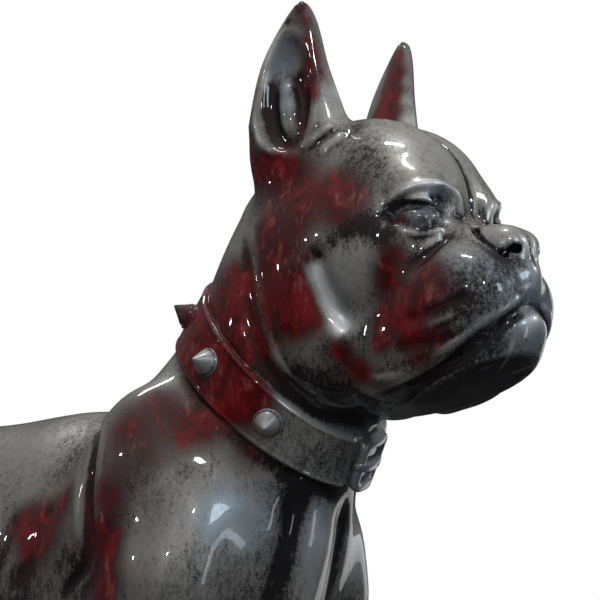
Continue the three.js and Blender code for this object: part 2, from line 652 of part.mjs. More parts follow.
const statue = new THREE.Group();
const dogMesh = new THREE.Mesh(meshOf(castDog), lacquer);
dogMesh.name = 'boxer_dog';
dogMesh.position.set(-STANCE_MIDDLE * SCALE, 0, BASE_THICKNESS + SEAT_GAP);
const baseMesh = new THREE.Mesh(lowBase(), baseLacquer);
baseMesh.name = 'low_base';
statue.add(dogMesh, baseMesh);

export default statue;
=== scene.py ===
# %% [markdown]
# # A life-size boxer in lacquered metallic resin
#
# The statue is one glossy casting: a standing boxer with a studded collar, on a low base. Its surface is
# soft like muscle under skin, with a few sharp folds in the face. Such a form could be sculpted by hand or
# pulled from a box with a subdivision modifier. Here it is worked out as a *distance function*: a formula
# that says for every point of space how far it is from the skin. Eggs and tapered limbs are melted
# together with soft fillets, and folds are drawn into them as lines. The same forms stand in the CAD
# model, so the looks and the solids agree.

import bpy
import numpy as np
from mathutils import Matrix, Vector


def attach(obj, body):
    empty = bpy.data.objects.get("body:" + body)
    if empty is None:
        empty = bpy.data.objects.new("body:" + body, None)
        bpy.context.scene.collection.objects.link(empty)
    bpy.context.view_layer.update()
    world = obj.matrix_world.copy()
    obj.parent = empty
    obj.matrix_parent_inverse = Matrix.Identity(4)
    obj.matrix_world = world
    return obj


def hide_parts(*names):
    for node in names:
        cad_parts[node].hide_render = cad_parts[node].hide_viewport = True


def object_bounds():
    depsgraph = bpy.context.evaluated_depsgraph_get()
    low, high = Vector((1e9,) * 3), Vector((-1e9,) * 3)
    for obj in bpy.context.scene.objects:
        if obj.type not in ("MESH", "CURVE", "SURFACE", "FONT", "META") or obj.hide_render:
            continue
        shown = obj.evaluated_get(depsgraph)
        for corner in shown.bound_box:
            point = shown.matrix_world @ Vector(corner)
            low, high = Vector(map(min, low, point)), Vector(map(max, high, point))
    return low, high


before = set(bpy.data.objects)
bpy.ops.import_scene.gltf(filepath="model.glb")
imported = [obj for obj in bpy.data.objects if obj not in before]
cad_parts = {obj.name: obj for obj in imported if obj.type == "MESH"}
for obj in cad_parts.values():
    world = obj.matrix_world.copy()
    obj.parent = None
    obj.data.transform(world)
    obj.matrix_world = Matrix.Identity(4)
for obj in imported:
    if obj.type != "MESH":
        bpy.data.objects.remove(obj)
cad_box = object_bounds()
print("CAD box in metres:", [tuple(round(v, 3) for v in corner) for corner in cad_box])

# %% [markdown]
# The figure is drawn in millimetres, with the soles at height 0 and the neck over x = 0, because an
# animal's measures are easier to read that way. One small function moves drawn points to the part's frame
# in metres, whose origin is the middle of the base's underside.

# %% From the drawing to the part's frame
BASE_THICKNESS = 30.3
STANCE_MIDDLE = -318.0


def placed(points):
    """Drawn millimetres to the part's metres: shifted to the stance's middle and raised on the base."""
    return (np.asarray(points, float) + [-STANCE_MIDDLE, 0, BASE_THICKNESS]) / 1000


# %% [markdown]
# The camera stands low at the dog's right front, two metres away, and looks up at the head, so the floor
# stays out of the picture. A long lens keeps the head from bulging.

# %% Camera
scene = bpy.context.scene


def looking(thing, place, target):
    """Puts an object at a drawn place and turns its -Z axis to a drawn target."""
    start, end = Vector(placed(place)), Vector(placed(target))
    thing.location = start
    thing.rotation_euler = (end - start).to_track_quat("-Z", "Y").to_euler()
    scene.collection.objects.link(thing)
    return thing


camera = bpy.data.cameras.new("camera")
camera.sensor_width = 36
camera.lens = 156
scene.camera = looking(bpy.data.objects.new("camera", camera), (1252.6, -1492.8, 205.1), (0, 0, 655))
scene.view_settings.view_transform = "Standard"
print("camera at", tuple(round(v, 3) for v in scene.camera.location))

# %% [markdown]
# ## Soft arithmetic
#
# Every form below is a function from an array of points to an array of distances, below zero inside.
# `fuse` takes the smaller of two distances, but rounds the corner between them, which gives the melted
# look of clay. `carve` is the same fillet used to take one form away from another.

# %% Helpers for soft forms
def clamp(t):
    """t held between 0 and 1."""
    return np.clip(t, 0, 1)


def rise(start, end, t):
    """An S-curve from 0 at start to 1 at end: 3s^2 - 2s^3 of the share s travelled."""
    s = clamp((t - start) / (end - start))
    return s * s * (3 - 2 * s)


def hump(t, width):
    """A bell, e to the power of minus (t / width) squared."""
    return np.exp(-np.square(t / width))


def fuse(a, b, k):
    """The smaller of a and b, lowered by up to k / 4 where they are close."""
    h = clamp(0.5 + 0.5 * (b - a) / k)
    return b * (1 - h) + a * h - k * h * (1 - h)


def carve(a, b, k):
    """Form a with form b taken away, its edge rounded by k."""
    return -fuse(-a, b, k)


def egg(middle, radii, lean=0, turn=0):
    """Distance to an ellipsoid, k0 (k0 - 1) / k1, with k0 and k1 the lengths of q / r and of q / r^2."""
    a, b = np.radians([lean, turn])
    tip = np.array([[np.cos(a), 0, -np.sin(a)], [0, 1, 0], [np.sin(a), 0, np.cos(a)]])
    swing = np.array([[np.cos(b), -np.sin(b), 0], [np.sin(b), np.cos(b), 0], [0, 0, 1]])
    axes = (swing @ tip).astype(np.float32)
    middle, radii = np.float32(middle), np.float32(radii)

    def distance(p):
        q = (p - middle) @ axes / radii
        k0 = np.sqrt(np.square(q).sum(-1))
        return k0 * (k0 - 1) / np.maximum(np.sqrt(np.square(q / radii).sum(-1)), 1e-6)

    return distance


def limb(a, b, start_radius, end_radius, flat=1.0):
    """Distance to a tapered rod: the distance to the line from a to b, less a radius that runs along it."""
    squash = np.float32([1, 1 / flat, 1])
    a, b = np.float32(a) * squash, np.float32(b) * squash

    def distance(p):
        q, along = p * squash - a, b - a
        t = clamp(q @ along / (along @ along))
        reach = np.sqrt(np.square(q - t[:, None] * along).sum(-1))
        return (reach - start_radius - (end_radius - start_radius) * t) * min(1, flat)

    return distance


def gather(first, *others):
    """Forms fused one after another, each given with its own fillet."""

    def distance(p):
        d = first(p)
        for fillet, form in others:
            d = fuse(d, form(p), fillet)
        return d

    return distance


# %% [markdown]
# Folds, lids and seams are lines on the skin. A smooth line is drawn through a few named points, and the
# skin sinks along it in the shape of a bell, or rises where the depth is negative. Both ends fade out, as
# a fold in skin does.

# %% Lines drawn into the skin
def smooth_line(points, steps=5):
    """A Catmull-Rom line: between each two points a cubic that also follows their neighbours."""
    p = np.asarray(points, float)
    p = np.vstack([2 * p[0] - p[1], p, 2 * p[-1] - p[-2]])
    t = np.linspace(0, 1, steps, endpoint=False)[:, None]
    rows = [
        0.5 * (2 * b + (c - a) * t + (2 * a - 5 * b + 4 * c - d) * t**2 + (3 * b - a - 3 * c + d) * t**3)
        for a, b, c, d in zip(p[:-3], p[1:-2], p[2:-1], p[3:])
    ]
    return np.float32(np.vstack([*rows, p[-2]]))


def crease(points, width, depth, fade_in=0.25, fade_out=0.25):
    """Depth times a bell of the distance to the line, faded by S-curves at its two ends."""
    line = smooth_line(points)
    low, high = line.min(0) - 3 * width, line.max(0) + 3 * width

    def change(p):
        out = np.zeros(len(p), np.float32)
        near = np.nonzero(np.all((p > low) & (p < high), 1))[0]
        q = p[near]
        best, share = np.full(len(q), np.inf, np.float32), np.zeros(len(q), np.float32)
        for i, (a, b) in enumerate(zip(line[:-1], line[1:])):
            t = clamp((q - a) @ (b - a) / ((b - a) @ (b - a)))
            gap = np.square(q - a - t[:, None] * (b - a)).sum(-1)
            share = np.where(gap < best, (i + t) / (len(line) - 1), share)
            best = np.minimum(best, gap)
        bell = depth * hump(np.sqrt(best), width)
        out[near] = bell * rise(0, fade_in, share) * rise(0, fade_out, 1 - share)
        return out

    return change


# %% [markdown]
# ## The head
#
# A boxer's head is a domed skull, a short square muzzle with hanging lips over an undershot jaw, and a
# heavy cheek muscle that runs down behind the mouth. The lips are one mass cut off along the lip line; the
# jaw is fused to them with almost no fillet, so the mouth stays a sharp dark line.

# %% Skull, muzzle, lips and jaw
skull = gather(
    egg((70, 0, 698), (100, 70, 86)),
    (24, egg((88, 40, 668), (62, 36, 52), -14)),  # cheek under the eye
    (12, egg((138, 29, 709), (27, 23, 20), -25, -14)),  # brow
)
muzzle = gather(
    egg((148, 0, 640), (60, 46, 44), -14),
    (14, egg((173, 24, 626), (43, 30, 38), -14, -8)),  # pads under the nose
    (16, egg((130, 34, 600), (56, 26, 46), 26)),  # hanging lips
    (9, egg((197, 0, 637), (25, 20, 28), -14)),  # middle of the upper lip
)
lower_jaw = gather(
    egg((166, 0, 582), (58, 37, 43), 43),
    (14, egg((202, 0, 600), (20, 22, 14), 30)),  # lower lip
    (20, egg((108, 0, 598), (64, 42, 46), 10)),  # root of the jaw
)
bridge = limb((150, 0, 668), (197, 0, 663), 19, 15)
nose_block = gather(egg((192, 0, 665), (23, 21, 16), -16), (6, egg((203, 11, 665), (12, 10, 12), 0, -20)))
jowl = gather(egg((46, 46, 654), (43, 34, 84), 9), (16, egg((72, 32, 602), (50, 32, 44), 10)))
LIP_LINE = [(66, 600), (88, 573), (110, 557), (144, 565), (180, 580), (210, 597), (236, 612)]


def lip_height(x, y):
    """Height of the lips' lower edge: a smooth line in side view, arched up by a bell under the nose."""
    line = smooth_line(LIP_LINE)
    return np.interp(x, line[:, 0], line[:, 1]) + 13 * hump(y, 17) * rise(196, 212, x)


def head(p):
    """Skull, lips cut off at the lip line, bridge, nose, jaw and cheek muscle, fused in that order."""
    x, y, z = p.T
    furrow = 5 * hump(y, 13) * rise(60, 110, x) * rise(650, 700, z)
    d = skull(p) + furrow
    d = fuse(d, carve(muzzle(p), z - lip_height(x, y), 5), 16)
    d = fuse(d, bridge(p), 14)
    d = fuse(d, nose_block(p), 8)
    d = fuse(d, lower_jaw(p), 2.5)
    return fuse(d, jowl(p), 8)


# %% [markdown]
# The ears are cropped: tall leaves set on edge, turned a little forwards, with a deep bowl and a swelling
# in it. The leaf's half-width grows with a power of the way down from the tip, which gives its gothic
# outline.

# %% Ears
def ear_form():
    """Distance to a flattened rod whose half-width is 40 (s / 95)^0.62 at s millimetres below its tip.

    It bends a little forwards, its two ends are cut off softly, and a bowl is carved into its outer side.
    """
    tip, root, facing = np.array([55.0, 63, 868]), np.array([43.0, 52, 752]), np.radians(20)
    down = (root - tip) / np.linalg.norm(root - tip)
    out = np.array([np.sin(facing), np.cos(facing), 0])
    out -= down * (out @ down)
    out /= np.linalg.norm(out)
    across = np.cross(down, out)
    bowl = egg(tip + down * 73 + out * 20 - across * 7, (23, 20, 51))
    swelling = egg(tip + down * 86 + out * 4.5 - across * 6, (9.5, 8, 25), 10)
    tip, down, out, across = (np.float32(v) for v in (tip, down, out, across))

    def distance(p):
        q = p - tip
        s, v = q @ down, q @ out
        u = q @ across + 5 * rise(0, 50, s) * (1 - rise(50, 115, s))
        half = 40 * np.clip(s / 95, 0.01, 1) ** 0.62 * (1 - 0.5 * np.square(clamp((s - 110) / 60)))
        thick = 2.5 + 0.36 * half
        k0 = np.sqrt(np.square(u / half) + np.square(v / thick))
        d = k0 * (k0 - 1) / np.maximum(np.sqrt(np.square(u / half**2) + np.square(v / thick**2)), 1e-6)
        d = carve(carve(d, s, 4), 160 - s, 18)
        d = carve(d, bowl(p), 4)
        return fuse(d, swelling(p), 7)

    return distance


ear = ear_form()

# %% [markdown]
# The face is cut and raised on the finished masses: a socket with the ball of the eye in it, lids as thin
# raised lines, a hollow at the brow's inner corner with a raised rim, slit nostrils, the furrow of the
# forehead, the pouch under the eye and the folds of the hanging lips.

# %% Face
eye_socket = egg((151, 51, 688), (21, 13, 10), -4, -32)
brow_hollow = egg((168, 37, 699), (11, 9, 8), 0, -20)
eyeball = egg((142.5, 39, 685), (17.5, 16, 12.5), 0, -28)
nostril = egg((209, 13, 659), (7, 4.2, 4.6), 0, -30)
face_lines = {
    "upper lid": crease(
        [(134, 58, 691), (146, 53, 697), (157, 45, 698), (165, 36, 692), (168, 30, 685)], 3, -3.4, 0.5
    ),
    "lower lid": crease(
        [(137, 57, 684), (142, 55, 677), (151, 48, 674), (161, 38, 677), (168, 30, 683)], 3, -2.6
    ),
    "above the eye": crease(
        [(124, 68, 681), (132, 62, 687), (140, 56, 691), (150, 51, 693), (160, 41, 693)], 2.6, 1.6
    ),
    "brow rim": crease(
        [(132, 60, 700), (144, 54, 707), (158, 45, 711), (168, 32, 711), (170, 21, 705), (169, 18, 696),
         (167, 17, 688)], 3.6, -2.4, 0.3, 0.12
    ),
    "pouch groove": crease(
        [(168, 22, 682), (164, 34, 669), (159, 45, 658), (150, 53, 648), (146, 57, 638)], 5, 3.4, 0.5, 0.6
    ),
    "pouch rim": crease(
        [(166, 28, 680), (159, 38, 668), (152, 47, 658), (145, 53, 650)], 4, -2.3, 0.3, 0.6
    ),
    "side of the nose": crease(
        [(174, 11, 680), (180, 15, 674), (187, 19, 667), (195, 20, 660), (202, 18, 655), (209, 14, 654)],
        2.7, 5.4, 0.15, 0.1,
    ),
    "upper lip fold": crease([(146, 60, 604), (161, 60, 610), (180, 57, 616), (202, 48, 622)], 4, 4.6),
    "middle lip fold": crease(
        [(136, 60, 590), (156, 58, 590), (175, 54, 592), (194, 50, 597), (207, 44, 602)], 4, 4.6
    ),
    "mouth": crease(
        [(222, 0, 619), (221, 8, 616), (216, 18, 610), (209, 27, 601), (200, 34, 591), (186, 36, 584),
         (170, 39, 577), (150, 43, 569), (130, 45, 562), (108, 46, 558)], 2.8, 5, 0.01, 0.2
    ),
    "lip rim": crease(
        [(219, 10, 624), (215, 20, 617), (208, 32, 609), (198, 40, 599), (184, 43, 591), (166, 47, 583),
         (146, 50, 575), (126, 54, 569), (106, 58, 572), (92, 62, 584)], 3.2, -2, 0.1
    ),
    "jaw line": crease(
        [(140, 24, 551), (160, 25, 553), (176, 25, 560), (188, 24, 570), (198, 20, 584)], 2.4, -2
    ),
    "hollow before the cheek": crease(
        [(75, 79, 675), (81, 78, 658), (87, 75, 638), (94, 68, 621), (104, 62, 606)], 8, 3.4
    ),
    "edge of the cheek": crease(
        [(70, 80, 670), (76, 79, 654), (80, 75, 636), (86, 69, 619), (95, 62, 605)], 2.6, -2.6
    ),
    "rim of the ear": crease(
        [(18, 71, 800), (19, 74, 774), (24, 73, 758), (35, 71, 750), (48, 68, 749)], 3.2, -2.6
    ),
    "root of the ear": crease([(55, 65, 750), (64, 62, 757), (70, 58, 763), (78, 53, 770)], 2.8, -3.4),
    "front of the ear": crease([(69, 61, 743), (75, 58, 751), (80, 55, 755), (86, 50, 761)], 2.8, -3),
}


def with_face(d, p):
    """The head's distance with sockets, eyeballs and nostrils carved or fused, and every line added.

    The fine furrow of the forehead and the split between the nostrils are bells of the sideways distance.
    """
    x, y, z = p.T
    d = carve(d, eye_socket(p), 8)
    d = carve(d, brow_hollow(p), 6)
    d = fuse(d, eyeball(p), 1.6)
    d = carve(d, nostril(p), 2)
    furrow = 3.6 * hump(y, 2.4) * rise(84, 104, x) * (1 - rise(164, 176, x)) * rise(688, 700, z)
    nose_split = 2.2 * hump(y, 2.0) * rise(190, 202, x) * rise(644, 654, z) * (1 - rise(664, 674, z))
    return d + furrow + nose_split + sum(line(p) for line in face_lines.values())


# %% [markdown]
# ## Neck and collar line
#
# The collar is cast on, but it reads as a leather strap round the neck. Its line is given by two leaning
# rings, and every piece of the collar is placed on it by an angle, 0 at the throat and 180 degrees at the
# nape, by the distance from the strap's middle line, and by how far it stands proud. The neck is drawn in
# to a tube under the strap, and a groove is kept free on both sides of it.

# %% Collar line and the neck's tube
COLLAR_WIDTH, COLLAR_THICKNESS = 46.0, 6.0
RING_MIDDLE, RING_DOWN = np.array([-16.0, 0, 591]), np.array([-0.547, 0, -0.837])


def ring_at(share):
    """Lean, front radius and side radius of the ring at a share of the width, -0.5 at the upper edge."""
    return np.radians(48 - 6 * share), 92 + 4.5 * share, 85 - 1.7 * share


def on_collar(angle, across, proud):
    """Ring middle + front radius * cos(angle) + side radius * sin(angle), moved outwards by proud."""
    angle, across, proud = np.broadcast_arrays(*(np.asarray(v, float) for v in (angle, across, proud)))
    share = across / COLLAR_WIDTH
    lean, along, aside = ring_at(share)
    c, s, o = np.cos(angle), np.sin(angle), np.zeros_like(angle)
    forwards = np.stack([np.cos(lean), o, -np.sin(lean)], -1)
    leftwards = np.array([0.0, 1, 0])
    middle = RING_MIDDLE + RING_DOWN * across[..., None]
    ring = middle + forwards * (along * c)[..., None] + leftwards * (aside * s)[..., None]
    out = forwards * (c / along)[..., None] + leftwards * (s / aside)[..., None]
    return ring + out / np.linalg.norm(out, axis=-1, keepdims=True) * proud[..., None]


def collar_tube(p):
    """Distance to the strap's bed, and how strongly the neck is drawn to it.

    It also gives the slope of the groove kept free beside the strap, and the way down from its middle line.
    """
    x, y, z = p.T
    lean = np.radians(48.0)
    dx, dz = x - RING_MIDDLE[0], z - RING_MIDDLE[2]
    square = -RING_DOWN[0] * np.sin(lean) - RING_DOWN[2] * np.cos(lean)
    fall = (-dx * np.sin(lean) - dz * np.cos(lean)) / square
    _, along, aside = ring_at(fall / COLLAR_WIDTH)
    u = (dx - RING_DOWN[0] * fall) * np.cos(lean) - (dz - RING_DOWN[2] * fall) * np.sin(lean)
    tube = (np.hypot(u / (along - COLLAR_THICKNESS), y / (aside - COLLAR_THICKNESS)) - 1) * aside
    return tube, hump(fall, 45), 1.2 * np.maximum(0, np.abs(fall) - COLLAR_WIDTH / 2), fall


neck_mass = limb((26, 0, 690), (-64, 0, 520), 70, 95)
neck_lines = {
    "behind the cheek": crease(
        [(-4, 64, 704), (8, 75, 672), (14, 79, 642), (18, 78, 618), (23, 74, 598), (31, 67, 580),
         (45, 57, 564), (68, 45, 553)], 5, 6, 0.3, 0.1
    ),
    "rear edge of the cheek": crease(
        [(6, 66, 706), (18, 75, 678), (24, 78, 649), (28, 77, 630), (32, 73, 607), (39, 67, 589),
         (52, 57, 571)], 4, -2.6
    ),
}

# %% [markdown]
# ## The body
#
# The trunk, shoulders, thighs and legs are eggs and limbs too, with larger fillets, because short hair
# over muscle shows no small folds. Only the shoulder blade's edge, the breast and the thigh are drawn in.

# %% Trunk, legs and tail
trunk = gather(
    egg((-215, 0, 440), (195, 112, 147), -9),  # ribs
    (40, egg((-330, 0, 475), (140, 96, 112), -12)),  # last ribs
    (40, egg((-82, 0, 450), (92, 74, 120), -14)),  # breast
    (40, egg((-190, 0, 516), (95, 62, 56), -6)),  # withers
    (40, egg((-430, 0, 515), (130, 76, 74), 4)),  # loin
    (40, egg((-520, 0, 488), (96, 92, 102))),  # croup
)


def toes(front, side, reach):
    """Four small eggs side by side, the middle two a little further forwards."""
    places = (-1.45, -0.5, 0.5, 1.45)
    return [(5, egg((front - 5 * a * a, side + 17 * a, 18), (reach, 11.5, 22), -8)) for a in places]


foreleg = gather(
    egg((-100, 84, 490), (58, 34, 112), -30),  # shoulder blade
    (18, egg((-54, 76, 455), (44, 40, 62), -14)),  # point of the shoulder
    (22, limb((-60, 84, 430), (-140, 86, 330), 44, 44, 0.9)),
    (22, limb((-132, 84, 330), (-122, 80, 140), 42, 26, 0.9)),
    (10, egg((-121, 80, 132), (27, 26, 30))),  # wrist
    (12, limb((-121, 80, 130), (-104, 80, 46), 25, 27)),
    (10, egg((-94, 80, 28), (42, 36, 36), -12)),  # paw
    *toes(-58, 80, 30),
)
hindleg = gather(
    egg((-520, 66, 440), (92, 54, 128), -20),  # thigh
    (26, egg((-470, 74, 372), (64, 44, 84), -24)),  # stifle
    (26, limb((-485, 80, 330), (-585, 84, 208), 48, 27, 0.85)),
    (30, limb((-385, 44, 440), (-440, 66, 385), 34, 34)),  # flank
    (14, limb((-588, 84, 198), (-572, 82, 60), 24, 23)),
    (14, limb((-560, 84, 250), (-612, 84, 204), 20, 14)),  # hock
    (10, egg((-556, 82, 26), (40, 34, 34), -10)),  # paw
    *toes(-526, 82, 29),
)
tail = limb((-595, 0, 545), (-640, 0, 590), 24, 15)
body_lines = {
    "edge of the shoulder blade": crease(
        [(-156, 53, 581), (-134, 84, 566), (-112, 107, 548), (-108, 114, 523), (-108, 116, 494),
         (-107, 118, 465), (-111, 118, 449), (-122, 117, 440), (-140, 114, 426)], 4.6, 6.5, 0.08, 0.12
    ),
    "front of that edge": crease(
        [(-120, 88, 566), (-102, 107, 548), (-98, 114, 523), (-97, 117, 494), (-96, 119, 465),
         (-100, 121, 446)], 4.5, -2.4
    ),
    "behind that edge": crease(
        [(-130, 92, 552), (-124, 108, 520), (-121, 115, 494), (-119, 118, 462)], 4.5, -2.2
    ),
    "breast": crease([(22, 26, 512), (16, 28, 470), (4, 32, 420), (-14, 36, 380)], 11, 7),
    "breast bone": crease([(24, 0, 520), (18, 0, 470), (4, 0, 410), (-20, 0, 360)], 7, -3),
    "thigh": crease([(-430, 62, 470), (-418, 84, 430), (-432, 104, 390), (-462, 108, 345)], 12, 5),
    "first rib": crease([(-160, 98, 505), (-172, 108, 470), (-190, 112, 430)], 9, 2.4),
    "second rib": crease([(-196, 98, 505), (-208, 110, 468), (-226, 112, 428)], 9, 2),
    "forearm": crease([(-118, 108, 330), (-112, 108, 280), (-112, 104, 220)], 7, 2.5),
    "heel string": crease([(-560, 104, 250), (-580, 104, 225), (-586, 104, 190)], 6, 3),
}


# %% [markdown]
# ## The whole dog
#
# The dog is the same on both sides, so the distance is worked out from the sideways distance alone. Most
# of the body is far from most points, so trunk and legs are worked out only for the points that they can
# reach.

# %% The dog as one distance
# A distance that stands for out of reach, and how near to the skin the fine lines are drawn
FAR, LINE_REACH = 300.0, 40


def only_near(form, near, p):
    """The form's distance where near is true, and a large one elsewhere."""
    out = np.full(len(p), FAR, np.float32)
    out[near] = form(p[near])
    return out


def dog(points):
    """Body, neck drawn in to the collar's tube, head, ears, then the face and every line, with y mirrored."""
    p = np.array(points, np.float32)
    p[:, 1] = np.abs(p[:, 1])
    x, y, z = p.T
    front, rear, high = x > -60, x < -250, z > 540
    d = only_near(trunk, z < 680, p)
    d = fuse(d, only_near(lambda q: carve(foreleg(q), q[:, 2], 3), (z < 660) & (x > -260) & (x < 60), p), 26)
    d = fuse(d, only_near(lambda q: carve(hindleg(q), q[:, 2], 3), (z < 640) & rear, p), 28)
    d = fuse(d, tail(p), 20)
    d = fuse(d, neck_mass(p), 40)
    tube, hold, clear, _ = collar_tube(p)
    d = d + (tube - d) * hold * rise(60, 20, np.abs(tube))
    d = fuse(d, only_near(head, front & (z > 480), p), 9)
    d = carve(d, clear - tube, 3)
    d = fuse(d, only_near(ear, front & (z > 650), p), 12)
    near_face = np.nonzero(front & high & (np.abs(d) < LINE_REACH))[0]
    d[near_face] = with_face(d[near_face], p[near_face])
    skin_near = np.nonzero(np.abs(d) < LINE_REACH)[0]
    for line in [*neck_lines.values(), *body_lines.values()]:
        d[skin_near] += line(p[skin_near])
    return d


# %% [markdown]
# ## From a distance to a mesh
#
# A grid of small cells fills the space, and only the cells that the skin can pass are kept: large cells
# are tested first, and those near the skin are split into eight, again and again. Each cell that the skin
# passes gets one point, and each grid edge that it crosses joins four of them into a face. At the end the
# points slide along the slope of the distance until they lie on the skin exactly.

# %% Surface nets in a narrow band
EIGHT = np.array([[i, j, k] for i in (0, 1) for j in (0, 1) for k in (0, 1)])
EDGES = [(a, b) for a in range(8) for b in range(8) if b > a and np.abs(EIGHT[a] - EIGHT[b]).sum() == 1]
FOUR = np.float32([[1, 1, 1], [1, -1, -1], [-1, 1, -1], [-1, -1, 1]]) / np.sqrt(3)
# Width of the first cells, in steps of the grid
COARSE = 8


def slope(form, points, reach):
    """Mean distance and slope from four samples at the corners of a tetrahedron of the given reach."""
    samples = [form(points + corner * reach) for corner in FOUR]
    gradient = sum(v[:, None] * corner for v, corner in zip(samples, FOUR)) * (0.75 / reach)
    return sum(samples) / 4, gradient


def skin(form, low, high, step):
    """Points and faces of the surface where the form's distance is 0, on a grid of the given step.

    A point is the mean of the places where its cell's edges cross the skin. It then slides along the slope
    by distance / slope^2, and no further than 0.6 of a step.
    """
    size = COARSE
    counts = np.ceil((np.array(high) - low) / (step * size)).astype(int)
    low = np.array([low[0], -counts[1] * step * size / 2, low[2]])
    cells = np.stack(np.meshgrid(*(np.arange(n) for n in counts), indexing="ij"), -1).reshape(-1, 3) * size
    while True:
        middles = low + (cells + size / 2) * step
        cells = cells[np.abs(form(middles)) < size * step * (1.5 if size > 1 else 2.2)]
        if size == 1:
            break
        size //= 2
        cells = (cells[:, None] + size * EIGHT).reshape(-1, 3)
    across = counts * COARSE + 2
    key = lambda ijk: (ijk[..., 0] * across[1] + ijk[..., 1]) * across[2] + ijk[..., 2]
    corner_keys, where = np.unique(key(cells[:, None] + EIGHT), return_inverse=True)
    k, rest = corner_keys % across[2], corner_keys // across[2]
    corners = low + np.stack([rest // across[1], rest % across[1], k], -1) * step
    values = form(corners)[where.reshape(-1, 8)]
    mixed = (values < 0).any(1) & (values >= 0).any(1)
    cells, values = cells[mixed], values[mixed]
    total, crossings = np.zeros((len(cells), 3)), np.zeros(len(cells))
    for a, b in EDGES:
        crossed = (values[:, a] < 0) != (values[:, b] < 0)
        share = np.where(crossed, values[:, a] / np.where(crossed, values[:, a] - values[:, b], 1), 0)
        total += crossed[:, None] * (EIGHT[a] + share[:, None] * (EIGHT[b] - EIGHT[a]))
        crossings += crossed
    points = low + (cells + total / crossings[:, None]) * step
    keys = key(cells)
    order = np.argsort(keys)
    faces = []
    for axis in range(3):
        along, p, q = np.eye(3, dtype=int)[[axis, (axis + 1) % 3, (axis + 2) % 3]]
        start, end = values[:, 0] < 0, values[:, 4 >> axis] < 0
        crossed = np.nonzero(start != end)[0]
        ring = np.stack([key(cells[crossed] - shift) for shift in (p + q, q, 0 * p, p)], -1)
        at = order[np.clip(np.searchsorted(keys, ring, sorter=order), 0, len(keys) - 1)]
        whole = (keys[at] == ring).all(1)
        ring = np.where(start[crossed][:, None], at, at[:, ::-1])[whole]
        faces.append(ring)
    points = np.float32(points)
    for _ in range(2):
        value, gradient = slope(form, points, 0.3 * step)
        push = value[:, None] * gradient / np.maximum(np.square(gradient).sum(-1), 0.2)[:, None]
        points -= np.clip(push, -0.6 * step, 0.6 * step)
    return points, np.concatenate(faces)


# %% [markdown]
# Every piece is a mesh at the frame's origin, with its place in its points. Numbers that the finish needs,
# such as how far the lacquer is rubbed away together with painted shade and light, are kept as one value
# for each point.

# %% Mesh pieces
def volume(points, faces):
    """Sum over triangles of a . (b x c) / 6, which is positive where the faces point outwards."""
    fans = [f[:, [0, i, i + 1]] for f in faces for i in range(1, f.shape[1] - 1)]
    a, b, c = (points[np.concatenate(fans)[:, i]] for i in range(3))
    return (a * np.cross(b, c)).sum() / 6


def piece(name, points, faces, node, finish, marks):
    """A smooth mesh from drawn points and arrays of faces, turned outwards, dressed and put on the frame."""
    points = np.clip(placed(points), *cad_box)
    if volume(points - points.mean(0), faces) < 0:
        faces = [f[:, ::-1] for f in faces]
    sizes = np.concatenate([np.full(len(f), f.shape[1]) for f in faces])
    mesh = bpy.data.meshes.new(name)
    mesh.vertices.add(len(points))
    mesh.vertices.foreach_set("co", np.float32(points).ravel())
    mesh.loops.add(int(sizes.sum()))
    mesh.loops.foreach_set("vertex_index", np.int32(np.concatenate([f.ravel() for f in faces])))
    mesh.polygons.add(len(sizes))
    mesh.polygons.foreach_set("loop_start", np.int32(np.cumsum(sizes) - sizes))
    mesh.update(calc_edges=True)
    mesh.polygons.foreach_set("use_smooth", np.ones(len(sizes), bool))
    for mark, values in marks.items():
        mesh.attributes.new(mark, "FLOAT", "POINT").data.foreach_set("value", np.float32(values))
    mesh.materials.append(finish)
    thing = bpy.data.objects.new(name, mesh)
    scene.collection.objects.link(thing)
    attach(thing, "root")
    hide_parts(node)
    triangles = int((sizes - 2).sum())
    print(f"{name}: {triangles} triangles")
    return thing
